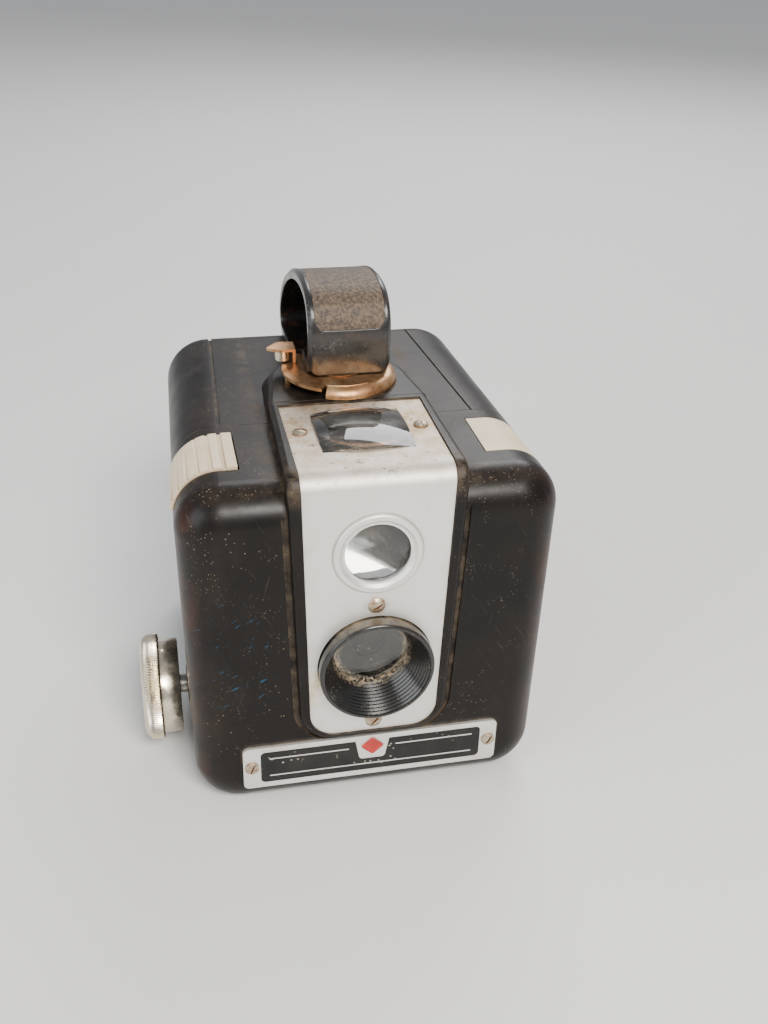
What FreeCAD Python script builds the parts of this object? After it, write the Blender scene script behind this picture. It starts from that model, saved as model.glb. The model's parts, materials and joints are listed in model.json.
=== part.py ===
import FreeCAD, Part
import math
import os

V = FreeCAD.Vector

# ---------------------------------------------------------------- driving dimensions, mm
# The model is laid out with X to the right, Y from the front face to the back and Z up from
# the base; save() moves the origin to the middle of the base.
DEPTH = 105.0
HEIGHT = 90.0
FRONT_HALF_TOP = 45.2
FRONT_HALF_BOTTOM = 44.0
REAR_HALF_TOP = 42.2
REAR_HALF_BOTTOM = 40.8
REAR_DROP = 1.0            # how far the top falls from front to back
PANEL_Y = 1.2              # the front panel stands behind the faceplate
CORNER_LOW = 11.5
CORNER_HIGH = 10.5
CORNER_HIGH_REAR = 12.0
BASE_SKIM = 0.03           # taken off the underside to leave it flat
EDGE_ROUND = 9.0
WALL = 2.4
SEAM_Y = 38.8
SEAM_GAP = 0.2

# raised spine: the frame round the faceplate and the rib on the top
SPINE_Y = -0.5
SPINE_TOP = 95.0
SPINE_HALF = 20.8
SPINE_HALF_LOW = 18.0
SPINE_LOW_Z = 20.9
SPINE_SEAM_HALF = 19.9
TONGUE_END_HALF = 17.8     # round end of the rib behind the seam: its top edge
TONGUE_ARC_Y = 50.5
TONGUE_END_Y = 68.3
TONGUE_FOOT_HALF = 19.6    # and the foot of its sloping side
TONGUE_FOOT_ARC_Y = 60.0
TONGUE_FOOT_END_Y = 79.6
TONGUE_FOOT_Z = 87.5

PLATE = 0.7
PLATE_HALF = 17.8
PLATE_HALF_LOW = 15.6
PLATE_LOW_Z = 22.4
PLATE_TOP = 94.5
PLATE_BEND = 4.5
PLATE_END_Y = 36.9
PLATE_CORNER = 6.5

AXIS_Z = 42.8              # optical axis
WINDOW_Z = 74.0            # viewfinder's front window
WINDOW_R = 7.7
HOOD_R = 13.9
HOOD_OUT = 3.9
HOOD_NECK_R = 13.6         # the hood is a little thinner next to the faceplate
HOOD_NECK_Y = 1.2
GLASS_R = 9.9
GLASS_Y = 4.6
UPPER_SCREW_Z = 59.8
LOWER_SCREW_Z = 25.4
TOP_SCREW_X = 14.4
FINDER_Y0 = 11.7
FINDER_Y1 = 32.2
FINDER_HALF = 10.8

NAME_HALF = 32.5
NAME_Z0 = 7.3
NAME_Z1 = 20.0
NAME_SCREW_X = 30.4

CONTROL_X = {-1: 29.1, 1: 28.5}      # inner ends of the two control windows, by side
CONTROL_Y0 = 15.4
CONTROL_Y1 = 34.0
CONTROL_Z = 77.0
RELEASE_PIVOT = (-17.5, 80.0)
RIB_PITCH = 2.9
RIB_COUNT = 7
RIB_GROOVE_R = 0.55
RIB_RISE = 0.75            # height of the grooves' centres over the casing

KNOB_Y = 33.0
KNOB_Z = 17.0
KNOB_R = 13.9
DRUM_R = 12.4
KNURL_TEETH = 60
SHAFT_R = 2.4
BUSH_R = 4.8
COLLAR_X = -34.2          # outer face of the collar on the winding shaft
SPOOL_HALF = 32.6
SPOOL_R = 11.0
SUPPLY_Y = 48.0
SUPPLY_Z = 71.0

SHUTTER_Y = 9.0
SHUTTER_PIVOT_X = -10.5
FILM_Y = 82.0
GATE_HALF = 28.5
CARRIER_HALF = 34.6
CARRIER_WALL = 1.0
ROLLER_Y = 79.5
ROLLER_R = 1.8
UPPER_ROLLER_Z = 73.4
LOWER_ROLLER_Z = 12.2

HINGE_Z = 1.2
HINGE_R = 1.1
HINGE_PIN_R = 0.5
HINGE_HALF = 30.0
HINGE_GROOVE = 1.5
LEAF = 0.6

LATCH_X = 0.0
LATCH_Y = 51.6
LATCH_R = 14.6
LATCH_POST_R = 6.6
LATCH_FLOAT = 0.3          # gap under the latch's skirt
LATCH_ROLL = 2.6           # radius of the skirt's rolled-over edge
LATCH_SHEET = 0.8
CATCH_Y = 37.9             # front end of the catch strip
SKIRT_START = -113         # angles between which the skirt runs
SKIRT_STOP = 25
SLIT_STOP = -65            # the skirt is slit from the ring up to here
TAB_RISE = 3.2
STUD_X = -13.6             # roller under the finger tab
STUD_Y = 57.9
HANDLE_X = 1.6
HANDLE_HALF = 10.3
HANDLE_T = 2.6
HANDLE_FOOT_Z = 98.2       # underside of the front foot
HANDLE_REAR_Z = 89.25      # underside of the rear foot
HANDLE_FRONT_Y = 46.0
HANDLE_REAR_Y = 98.0
HANDLE_CREST = [(45.2, 104.0), (45.4, 111.0), (49.0, 116.8), (56.0, 119.0), (64.5, 118.8), (74.0, 116.7),
                (84.0, 113.0), (93.0, 108.0), (99.5, 102.0), (102.6, 96.0), (101.5, 91.5)]
GRIP_HALF = 8.8
GRIP_Z = 110.2
GRIP_DEEP = 0.6
REAR_RIVET_Y = 91.5
LINE_X = 31.5               # moulded lines on the top, at the seam
RED_WINDOW_Z = 42.8
RED_WINDOW_R = 6.0

RUN = 0.05                 # radial clearance of a shaft in its hole


# ---------------------------------------------------------------- helpers
def box(x0, y0, z0, x1, y1, z1):
    """Box between two corners."""
    return Part.makeBox(x1 - x0, y1 - y0, z1 - z0, V(x0, y0, z0))


def cyl_x(y, z, r, x0, x1):
    """Cylinder along X."""
    return Part.makeCylinder(r, x1 - x0, V(x0, y, z), V(1, 0, 0))


def cyl_y(x, z, r, y0, y1):
    """Cylinder along Y."""
    return Part.makeCylinder(r, y1 - y0, V(x, y0, z), V(0, 1, 0))


def cyl_z(x, y, r, z0, z1):
    """Cylinder along Z."""
    return Part.makeCylinder(r, z1 - z0, V(x, y, z0), V(0, 0, 1))


def cone_y(x, z, r0, r1, y0, y1):
    """Cone along Y from radius r0 to r1."""
    return Part.makeCone(r0, r1, y1 - y0, V(x, y0, z), V(0, 1, 0))


def in_xz(y):
    """Places plan points in the XZ plane at one Y."""
    return lambda a, b: V(a, y, b)


def in_xy(z):
    """Places plan points in the XY plane at one Z."""
    return lambda a, b: V(a, b, z)


def in_yz(x):
    """Places plan points in the YZ plane at one X."""
    return lambda a, b: V(x, a, b)


def rounded_wire(corners, radii, place):
    """Closed wire through corners, each rounded to its own radius; place puts (a, b) in space."""
    spans = []
    count = len(corners)
    for i in range(count):
        here = V(*corners[i], 0)
        to_last = (V(*corners[i - 1], 0) - here).normalize()
        to_next = (V(*corners[(i + 1) % count], 0) - here).normalize()
        half = to_last.getAngle(to_next) / 2
        r = radii[i]
        if r <= 0:
            spans.append((here, None, here))
            continue
        cut = r / math.tan(half)
        centre = here + (to_last + to_next).normalize() * (r / math.sin(half))
        middle = centre + (here - centre).normalize() * r
        spans.append((here + to_last * cut, middle, here + to_next * cut))
    edges = []
    for i in range(count):
        first, middle, last = spans[i]
        if middle is not None:
            points = [place(p.x, p.y) for p in (first, middle, last)]
            edges.append(Part.Arc(*points).toShape())
        following = spans[(i + 1) % count][0]
        if (following - last).Length > 1e-6:
            edges.append(Part.LineSegment(place(last.x, last.y), place(following.x, following.y)).toShape())
    return Part.Wire(edges)


def prism(corners, radii, place, along):
    """Rounded outline pushed through a vector."""
    return Part.Face(rounded_wire(corners, radii, place)).extrude(along)


def fuse(first, *others):
    """Union of solids."""
    return first.fuse(list(others)).removeSplitter()


def cut(first, *others):
    """First solid less the others."""
    return first.cut(list(others))


def group(solids):
    """Several solids kept apart in one shape."""
    return Part.makeCompound(solids)


def edges_where(solid, test):
    """Edges of a solid whose bounding box passes a test."""
    return [e for e in solid.Edges if test(e.BoundBox)]


def save(name, shape):
    """Writes one node, with the origin moved to the middle of the base."""
    moved = shape.copy()
    moved.translate(V(0, -DEPTH / 2, 0))
    moved.exportStep(os.path.join("parts", name + ".step"))


# ---------------------------------------------------------------- casing forms
def casing_section(y, inset):
    """Outline of the casing at depth y, drawn in by inset."""
    t = (y - PANEL_Y) / (DEPTH - PANEL_Y)
    top = FRONT_HALF_TOP + (REAR_HALF_TOP - FRONT_HALF_TOP) * t - inset
    low = FRONT_HALF_BOTTOM + (REAR_HALF_BOTTOM - FRONT_HALF_BOTTOM) * t - inset
    high = HEIGHT - REAR_DROP * t - inset
    foot = inset - BASE_SKIM
    upper = CORNER_HIGH + (CORNER_HIGH_REAR - CORNER_HIGH) * t - inset
    corners = [(-low, foot), (low, foot), (top, high), (-top, high)]
    radii = [CORNER_LOW - inset, CORNER_LOW - inset, upper, upper]
    return rounded_wire(corners, radii, in_xz(y))


def casing_form(inset, rounded=True):
    """The whole camera's outer form, drawn in by inset on every side."""
    y0 = PANEL_Y + inset
    y1 = DEPTH - inset
    form = Part.makeLoft([casing_section(y0, inset), casing_section(y1, inset)], True, True)
    if not rounded:
        return form
    ends = edges_where(form, lambda b: b.YLength < 0.01)
    return form.makeFillet(EDGE_ROUND - inset, ends)


def casing_outside():
    """Outer form with its underside skimmed flat."""
    return cut(casing_form(0), box(-80, -20, -5, 80, 140, 0))


def half_space(y0, y1):
    """Slab that holds one half of the casing."""
    return box(-80, y0, -20, 80, y1, 140)


def spine_section(y, shrink):
    """Front outline of the raised frame at depth y, narrower by shrink each side."""
    low = SPINE_HALF_LOW - shrink
    high = SPINE_HALF - shrink
    corners = [(-low, SPINE_LOW_Z), (low, SPINE_LOW_Z), (high, SPINE_TOP + 4), (-high, SPINE_TOP + 4)]
    return rounded_wire(corners, [9, 9, 0, 0], in_xz(y))


def spine_front():
    """Raised frame: down the front round the faceplate and back along the top to the seam."""
    shrink = SPINE_HALF - SPINE_SEAM_HALF
    body = Part.makeLoft([spine_section(SPINE_Y, 0), spine_section(SEAM_Y, shrink)], True, True)
    body = body.common(bent_strip(SPINE_Y, SPINE_TOP, PLATE_BEND + 0.5, SEAM_Y, SPINE_LOW_Z - 5, False))
    rim = edges_where(body, lambda b: b.YMax < SPINE_Y + 0.01
                      or (b.YMin < 10 and b.YLength > 20 and b.ZLength < 0.1
                      and b.ZMin > 80) or (3 < b.YLength < 8 and 3 < b.ZLength < 8))
    return body.makeFillet(1.3, rim)


def tongue_outline(half, arc_y, end_y, z):
    """Plan of the rib behind the seam at one height: straight sides and a round end."""
    corners = [V(-half, arc_y, z), V(-SPINE_SEAM_HALF, SEAM_Y, z),
               V(SPINE_SEAM_HALF, SEAM_Y, z), V(half, arc_y, z)]
    sides = [Part.LineSegment(corners[i], corners[i + 1]).toShape() for i in range(3)]
    return Part.Wire(sides + [Part.Arc(corners[3], V(0, end_y, z), corners[0]).toShape()])


def spine_rear():
    """Tongue of the top behind the seam: a round end round the latch and a sloping side."""
    foot = tongue_outline(TONGUE_FOOT_HALF, TONGUE_FOOT_ARC_Y, TONGUE_FOOT_END_Y, TONGUE_FOOT_Z)
    top = tongue_outline(TONGUE_END_HALF, TONGUE_ARC_Y, TONGUE_END_Y, SPINE_TOP)
    body = Part.makeLoft([foot, top], True, True)
    rim = edges_where(body, lambda b: b.ZMin > SPINE_TOP - 0.01 and b.YMax > SEAM_Y + 1)
    return body.makeFillet(1.3, rim)


def plate_outline(margin, y0, y1):
    """Front outline of the faceplate, grown by margin, as a prism in Y."""
    return prism(
        [(-PLATE_HALF_LOW - margin, PLATE_LOW_Z - margin), (PLATE_HALF_LOW + margin, PLATE_LOW_Z - margin),
         (PLATE_HALF + margin, HEIGHT + 15), (-PLATE_HALF - margin, HEIGHT + 15)],
        [PLATE_CORNER, PLATE_CORNER, 0, 0], in_xz(y0), V(0, y1 - y0, 0))


def bent_strip(y_front, z_top, bend, y_end, z_low, outside):
    """Solid beyond (outside) or behind the surface of a plate bent over the top front edge."""
    if outside:
        corners = [(y_front, z_low), (y_front, z_top), (y_end, z_top), (y_end, z_top + 12),
                   (y_front - 12, z_top + 12), (y_front - 12, z_low)]
        radii = [0, bend, 0, 0, 0, 0]
    else:
        corners = [(y_front, z_low), (y_front, z_top), (y_end, z_top), (y_end, z_low)]
        radii = [0, bend, 0, 0]
    return prism(corners, radii, in_yz(-40), V(80, 0, 0))


def plate_pocket():
    """Pocket in the spine that takes the faceplate."""
    outside = bent_strip(PLATE + 0.05, PLATE_TOP - PLATE - 0.05, PLATE_BEND - PLATE, PLATE_END_Y + 0.15,
                         PLATE_LOW_Z - 0.15, True)
    return outside.common(plate_outline(0.15, -20, PLATE_END_Y + 0.15))


def control_window(side, margin):
    """Block that cuts (or fits) a control window wrapping over the top edge; side is -1 or 1."""
    inner = side * (CONTROL_X[side] + margin)
    outer = side * 60.0
    return box(min(inner, outer), CONTROL_Y0 + margin, CONTROL_Z + margin, max(inner, outer),
               CONTROL_Y1 - margin, HEIGHT + 10)


def latch_recess():
    """Shallow seat of the catch strip in the front half's spine."""
    return box(-3.7, CATCH_Y - 0.05, SPINE_TOP - 0.45, 3.7, SEAM_Y + 1, SPINE_TOP + 5)


# ---------------------------------------------------------------- front half
def front_casing():
    """Front half of the casing, with its spine, window and holes."""
    outer = casing_outside().common(half_space(-5, SEAM_Y - SEAM_GAP / 2))
    frame = spine_front().common(half_space(-5, SEAM_Y - SEAM_GAP / 2))
    groove = cut(
        prism([(-SPINE_HALF_LOW - 1.3, SPINE_LOW_Z - 1.3), (SPINE_HALF_LOW + 1.3, SPINE_LOW_Z - 1.3),
               (SPINE_HALF + 1.3, HEIGHT + 3), (-SPINE_HALF - 1.3, HEIGHT + 3)],
              [10, 10, 0, 0], in_xz(PANEL_Y - 1), V(0, 1.7, 0)))
    body = fuse(cut(outer, groove), frame)
    hollow = casing_form(WALL)
    spine_hollow = box(-16.5, 4.3, HEIGHT - 14, 16.5, SEAM_Y + 1, PLATE_TOP - 2.2)
    bush_seat = cyl_x(KNOB_Y, KNOB_Z, 5.7, -43.9, -39.6)
    body = cut(body, hollow, spine_hollow, plate_pocket(), latch_recess())
    body = fuse(body, lip(), bush_seat)
    body = cut(
        body,
        control_window(-1, 0),
        control_window(1, 0),
        cyl_y(0, WINDOW_Z, WINDOW_R + 0.8, -5, 8),
        cyl_y(0, AXIS_Z, 12.3, -5, 8),
        cyl_y(0, AXIS_Z, 14.8, -5, 2.4),
        box(-FINDER_HALF - 0.3, FINDER_Y0 - 0.3, HEIGHT - 6, FINDER_HALF + 0.3, FINDER_Y1 + 0.3, 100),
        cyl_x(KNOB_Y, KNOB_Z, BUSH_R, -50, -30),
        cyl_x(KNOB_Y, KNOB_Z, 7.5, -39.58, -30),
        hinge_groove(),
        *screw_holes(),
    )
    return body


def lip():
    """Light trap: a thin wall of the front half that stands inside the rear half."""
    root = cut(casing_form(WALL - 0.3, False), casing_form(WALL + 1.6, False))
    stand = cut(casing_form(WALL + 0.4, False), casing_form(WALL + 1.6, False))
    root = root.common(box(-80, SEAM_Y - 5, 12, 80, SEAM_Y - SEAM_GAP / 2, 140))
    stand = stand.common(box(-80, SEAM_Y - 1, 12, 80, SEAM_Y + 1.6, 140))
    spine_gap = box(-16.5, SEAM_Y - 6, HEIGHT - 8, 16.5, SEAM_Y + 3, 100)
    return cut(fuse(root, stand), spine_gap)


def hinge_groove():
    """Groove across the base at the seam, which the hinge barrel lies in."""
    return box(-60, SEAM_Y - HINGE_GROOVE, -1, 60, SEAM_Y + HINGE_GROOVE, HINGE_Z + 1.6)


def screw_spots():
    """Place, direction and kind of the screws that hold the faceplate and the nameplate."""
    face = [(V(0, 0, UPPER_SCREW_Z), V(0, -1, 0)), (V(0, 0, LOWER_SCREW_Z), V(0, -1, 0)),
            (V(-TOP_SCREW_X, 22.45, PLATE_TOP), V(0, 0, 1)), (V(TOP_SCREW_X, 22.45, PLATE_TOP), V(0, 0, 1))]
    middle = (NAME_Z0 + NAME_Z1) / 2
    name = [(V(side * NAME_SCREW_X, 0.4, middle + 0.4), V(0, -1, 0)) for side in (-1, 1)]
    return face, name


def screw(spot, out, head_r=2.15, shank_r=0.9, length=3.1):
    """Round-head screw with one slot; spot lies under the head and out points away from the work."""
    head = Part.makeCylinder(head_r, 1.0, spot, out)
    dome = Part.makeSphere(2.9, spot - out * 1.9)
    slot = Part.makeBox(6, 0.55, 1.2, V(-3, -0.275, 0.5))
    slot.rotate(V(0, 0, 0), V(0, 0, 1), 35 + 50 * math.sin(spot.x + spot.z))
    slot.Placement = FreeCAD.Placement(spot, FreeCAD.Rotation(V(0, 0, 1), out)).multiply(slot.Placement)
    shank = Part.makeCylinder(shank_r, length, spot - out * length, out)
    return fuse(cut(head.common(dome), slot), shank)


def screw_holes():
    """Clearance for the shanks of the front's screws."""
    face, name = screw_spots()
    return [Part.makeCylinder(0.9, 3.2, spot - out * 3.2, out) for spot, out in face + name]


def faceplate():
    """Bent satin strip over the front and top, with the finder's window ring."""
    skin = cut(
        bent_strip(0, PLATE_TOP, PLATE_BEND, PLATE_END_Y, PLATE_LOW_Z, False),
        bent_strip(PLATE, PLATE_TOP - PLATE, PLATE_BEND - PLATE, PLATE_END_Y + 5, PLATE_LOW_Z - 5, False))
    skin = skin.common(plate_outline(0, -20, PLATE_END_Y))
    bead = cyl_y(0, WINDOW_Z, 10.4, -0.75, 0.1)
    bead = bead.makeFillet(0.55, edges_where(bead, lambda b: b.YMax < -0.7 and b.XLength > 20))
    ring = cut(bead, cone_y(0, WINDOW_Z, 9.0, 8.1, -0.8, 0.15))
    skin = fuse(skin, ring)
    face, name = screw_spots()
    return cut(
        skin,
        cyl_y(0, WINDOW_Z, WINDOW_R, -5, 5),
        cyl_y(0, AXIS_Z, HOOD_R + 0.1, -5, 5),
        box(-FINDER_HALF, FINDER_Y0, 90, FINDER_HALF, FINDER_Y1, 100),
        *[Part.makeCylinder(0.9, 4, spot - out * 3, out) for spot, out in face],
    )


def faceplate_screws():
    """Four slotted screws of the faceplate."""
    face, name = screw_spots()
    return group([screw(spot, out, 1.75 if out.z > 0 else 2.1) for spot, out in face])


def nameplate():
    """Aluminium plate with a recess for the dark inlay, notched at the middle of its top edge."""
    plate = prism([(-NAME_HALF, NAME_Z0), (NAME_HALF, NAME_Z0), (NAME_HALF, NAME_Z1), (-NAME_HALF, NAME_Z1)],
                  [1.4] * 4, in_xz(0.4), V(0, 0.8, 0))
    holes = [Part.makeCylinder(0.9, 4, spot - out * 3, out) for spot, out in screw_spots()[1]]
    return cut(plate, inlay_form(0, 0.8), *holes)


def inlay_form(shrink, deep):
    """Sunk area of the nameplate, notched over the ornament."""
    half = NAME_HALF - 4.3 - shrink
    body = prism([(-half, NAME_Z0 + 1.5 + shrink), (half, NAME_Z0 + 1.5 + shrink),
                  (half, NAME_Z1 - 1.5 - shrink), (-half, NAME_Z1 - 1.5 - shrink)],
                 [1.2] * 4, in_xz(0.3), V(0, deep - 0.3, 0))
    notch = prism([(-3.2 - shrink, NAME_Z1 - 7.4 - shrink), (3.2 + shrink, NAME_Z1 - 7.4 - shrink),
                   (4.6 + shrink, NAME_Z1), (-4.6 - shrink, NAME_Z1)],
                  [1, 1, 0, 0], in_xz(0), V(0, 3, 0))
    return cut(body, notch)


def nameplate_inlay():
    """Dark inlay of the nameplate."""
    body = inlay_form(0.02, 0.8)
    return body.common(box(-40, 0.45, 0, 40, 2, 30))


def nameplate_ornament():
    """Plain lozenge in the notch, in place of a badge."""
    middle = NAME_Z1 - 3.3
    return prism([(-2.9, middle), (0, middle - 2.6), (2.9, middle), (0, middle + 2.6)],
                 [0.3] * 4, in_xz(0.0), V(0, 0.4, 0))


def nameplate_screws():
    """Two slotted screws of the nameplate."""
    return group([screw(spot, out, 1.7, 0.9, 2.8) for spot, out in screw_spots()[1]])


def lens_hood():
    """Round hood with a cone of concentric steps inside, held behind the faceplate by its flange."""
    wall = fuse(cyl_y(0, AXIS_Z, HOOD_R, -HOOD_OUT, -HOOD_NECK_Y),
                cyl_y(0, AXIS_Z, HOOD_NECK_R, -HOOD_NECK_Y - 0.1, 1.5),
                cyl_y(0, AXIS_Z, 14.7, PLATE + 0.1, 2.3),
                cyl_y(0, AXIS_Z, 12.2, 1, 8))
    lip_edge = edges_where(wall, lambda b: b.YMax < -HOOD_OUT + 0.01 and b.XLength > 20)
    wall = wall.makeFillet(0.7, lip_edge)
    steps = 10
    mouth_r = 12.9
    step_y = (GLASS_Y + HOOD_OUT) / steps
    step_r = (mouth_r - 9.3) / steps
    bores = []
    for i in range(steps):
        y0 = -HOOD_OUT + i * step_y
        r = mouth_r - i * step_r
        bores.append(cone_y(0, AXIS_Z, r, r - step_r * 0.25, y0 - 0.01, y0 + step_y * 0.45))
        bores.append(cone_y(0, AXIS_Z, r - step_r * 0.25, r - step_r * 1.4, y0 + step_y * 0.45 - 0.01,
                            y0 + step_y + 0.01))
    tool = bores[0].fuse(bores[1:])
    seat = cyl_y(0, AXIS_Z, GLASS_R, GLASS_Y, 9)
    return cut(wall, tool, seat)


def front_glass():
    """Flat glass behind the hood."""
    return cyl_y(0, AXIS_Z, GLASS_R - 0.02, GLASS_Y + 0.01, GLASS_Y + 1.2)


def glass_ring():
    """Spring ring behind the glass, split at the bottom."""
    ring = cut(cyl_y(0, AXIS_Z, GLASS_R - 0.02, GLASS_Y + 1.25, GLASS_Y + 2.2),
               cyl_y(0, AXIS_Z, GLASS_R - 1.2, 0, 20))
    return cut(ring, box(-1.5, 0, AXIS_Z - 12, 1.5, 20, AXIS_Z - 5))


def shutter_plate():
    """Plate that carries the rotary shutter."""
    plate = prism([(-24, 28), (16, 28), (16, 58), (-24, 58)], [3] * 4, in_xz(SHUTTER_Y), V(0, 0.8, 0))
    posts = [cyl_y(x, z, 1.2, 3.4, SHUTTER_Y + 1.4) for x, z in post_spots()]
    return cut(plate, cyl_y(0, AXIS_Z, 4.2, 0, 20), cyl_y(SHUTTER_PIVOT_X, AXIS_Z, 1.5, 0, 20), *posts)


def post_spots():
    """Places of the shutter plate's four posts."""
    return [(-21.5, 31), (13.5, 31), (13.5, 55.5), (-21.5, 55.5)]


def shutter_posts():
    """Four rivets that hold the shutter plate off the front wall."""
    solids = []
    for x, z in post_spots():
        solids.append(fuse(cyl_y(x, z, 2.0, PANEL_Y + WALL, SHUTTER_Y),
                           cyl_y(x, z, 1.2, SHUTTER_Y, SHUTTER_Y + 0.8),
                           cyl_y(x, z, 1.9, SHUTTER_Y + 0.8, SHUTTER_Y + 1.2)))
    return group(solids)


def shutter_disc():
    """Rotary blade: a disc with one port that passes the aperture as it turns."""
    disc = cyl_y(SHUTTER_PIVOT_X, AXIS_Z, 15.2, SHUTTER_Y + 1.4, SHUTTER_Y + 1.9)
    hub = cyl_y(SHUTTER_PIVOT_X, AXIS_Z, 2.8, SHUTTER_Y + 1.4, SHUTTER_Y + 2.9)
    reach = abs(SHUTTER_PIVOT_X)
    swing = math.radians(60)
    port = cyl_y(SHUTTER_PIVOT_X + reach * math.cos(swing), AXIS_Z - reach * math.sin(swing), 4.5, 0, 30)
    flat = box(-60, 0, AXIS_Z + 11, 20, 30, AXIS_Z + 30)
    body = cut(disc, flat)
    return cut(fuse(body, hub), port, cyl_y(SHUTTER_PIVOT_X, AXIS_Z, 1.0 + RUN, 0, 30))


def shutter_pin():
    """Fixed pin the blade turns on."""
    return fuse(cyl_y(SHUTTER_PIVOT_X, AXIS_Z, 1.5, SHUTTER_Y - 0.6, SHUTTER_Y + 1.2),
                cyl_y(SHUTTER_PIVOT_X, AXIS_Z, 1.0, SHUTTER_Y + 1.2, SHUTTER_Y + 3.6))


def lens_holder():
    """Cup in the front of the light cone that holds the lens."""
    body = fuse(cyl_y(0, AXIS_Z, 8.8, 13.4, 17.8), prism(
        [(-11, AXIS_Z - 11), (11, AXIS_Z - 11), (11, AXIS_Z + 11), (-11, AXIS_Z + 11)],
        [2] * 4, in_xz(16.6), V(0, 1.2, 0)))
    return cut(body, cyl_y(0, AXIS_Z, 7.5, 14.2, 30), cyl_y(0, AXIS_Z, 5.2, 0, 30))


def meniscus_lens():
    """Single meniscus, hollow side to the front."""
    blank = cyl_y(0, AXIS_Z, 7.48, 14.25, 17.6)
    back = Part.makeSphere(24, V(0, 17.4 - 24, AXIS_Z))
    front = Part.makeSphere(30, V(0, 15.5 - 30, AXIS_Z))
    return cut(blank.common(back), front)


# ---------------------------------------------------------------- viewfinder
def finder_profile(grow):
    """Side profile of the finder box."""
    low_z = WINDOW_Z - 12.5
    return ([(4.4 - grow, low_z - grow), (9.5, low_z - grow), (35.0 + grow, 87.0 - grow * 0.4),
             (35.0 + grow, 92.0), (4.4 - grow, 92.0)], [0, 0, 0, 0, 0])


def viewfinder_housing():
    """Box of sheet that holds the mirror at 45 degrees under the top lens."""
    outer = prism(*finder_profile(0), in_yz(-12.0), V(24.0, 0, 0))
    inner = prism(*finder_profile(-0.9), in_yz(-11.1), V(22.2, 0, 0))
    top = box(-11.1, 5.4, 88, 11.1, 34.1, 95)
    eye = cyl_y(0, WINDOW_Z, WINDOW_R + 0.8, 0, 8)
    return cut(outer, inner, top, eye)


def viewfinder_mirror():
    """Flat silvered glass along the sloping floor of the housing."""
    plate = Part.makeBox(21.4, 31.0, 1.2, V(-10.7, 0, 0))
    plate.rotate(V(0, 0, 0), V(1, 0, 0), 45)
    plate.translate(V(0, 8.8, WINDOW_Z - 10.2))
    return plate


def viewfinder_window():
    """Round front lens, domed towards the front."""
    blank = cyl_y(0, WINDOW_Z, WINDOW_R + 0.7, -1.0, 4.2)
    dome = Part.makeSphere(26, V(0, 26 - 0.2, WINDOW_Z))
    front = cyl_y(0, WINDOW_Z, WINDOW_R - 0.03, -1.0, 0.75)
    body = blank.common(dome)
    rear = body.common(box(-20, PLATE + 0.05, 0, 20, 10, 120))
    return fuse(rear, body.common(front))


def viewfinder_top_lens():
    """Square brilliant-finder lens, domed upwards."""
    half = FINDER_HALF - 0.05
    blank = prism([(-half, FINDER_Y0 + 0.05), (half, FINDER_Y0 + 0.05), (half, FINDER_Y1 - 0.05),
                   (-half, FINDER_Y1 - 0.05)], [0.6] * 4, in_xy(92.05), V(0, 0, 8))
    dome = Part.makeSphere(46, V(0, (FINDER_Y0 + FINDER_Y1) / 2, 96.65 - 46))
    return blank.common(dome)


# ---------------------------------------------------------------- controls
def control_shell(side, margin, proud, deep):
    """Piece of the casing's skin inside a control window, proud by an amount."""
    skin = cut(casing_form(-proud), casing_form(deep))
    return skin.common(control_window(side, margin))


def release_button():
    """Ribbed ivory thumb piece: broad ribs that run front to back, parted by fine grooves."""
    body = control_shell(-1, 0.4, 0.7, 1.7)
    inner_end = CONTROL_X[-1] + 0.45
    body = body.common(box(-80, 0, CONTROL_Z + 3.6, -inner_end, 60, 120))
    foot = box(-39.5, 20.5, 81.5, -33.5, 30, HEIGHT - 1.2)
    body = fuse(body, foot)
    corner_x = FRONT_HALF_TOP - 0.6 - CORNER_HIGH
    reach = CORNER_HIGH + RIB_RISE
    grooves = []
    for i in range(1, RIB_COUNT):
        s = i * RIB_PITCH
        flat = corner_x - inner_end
        turn = max(s - flat, 0) / CORNER_HIGH
        x = -inner_end - min(s, flat) - reach * math.sin(turn)
        z = HEIGHT - CORNER_HIGH - 0.3 + reach * math.cos(turn)
        grooves.append(cyl_y(x, z, RIB_GROOVE_R, CONTROL_Y0 - 1, CONTROL_Y1 + 1))
    return cut(body, *grooves)


def release_arm():
    """Steel lever from its pivot out under the thumb piece and down to the shutter."""
    px, pz = RELEASE_PIVOT
    upper = prism([(px + 3, pz - 3), (px + 3, pz + 3),
                   (-33.0, 84.5), (-39.0, 84.5), (-39.0, 81.6), (-33.0, 80.4)],
                  [2, 2, 0, 0, 0, 0], in_xz(24.6), V(0, 1.0, 0))
    limb = prism([(px - 3, pz), (px + 2.5, pz), (px + 1.5, 56), (px - 1.5, 56)], [0, 0, 1, 1],
                 in_xz(24.6), V(0, 1.0, 0))
    finger = box(px - 1.5, 13.2, 56, px + 1.5, 25.6, 57.0)
    bore = cyl_y(px, pz, 1.2 + RUN, 20, 30)
    pocket = box(-39.6, 24.5, 81.4, -33.4, 25.7, 84.6)
    return cut(fuse(upper, limb, finger), bore), pocket


def release_pin():
    """Pin on the side of the viewfinder housing that the release lever turns on."""
    px, pz = RELEASE_PIVOT
    bracket = box(px - 2.5, 26.4, pz - 3, -12.0, 27.2, pz + 3)
    return fuse(bracket, cyl_y(px, pz, 1.2, 23.6, 26.6))


def coil(radius, wire_r, pitch, turns, centre, axis):
    """Closed helical spring wire."""
    helix = Part.makeHelix(pitch, pitch * turns, radius)
    section = Part.Wire([Part.makeCircle(wire_r, V(radius, 0, 0), V(0, 1, pitch / (2 * math.pi * radius)))])
    spring = Part.Wire(helix).makePipeShell([section], True, True)
    spring.Placement = FreeCAD.Placement(centre, FreeCAD.Rotation(V(0, 0, 1), axis))
    return spring


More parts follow.
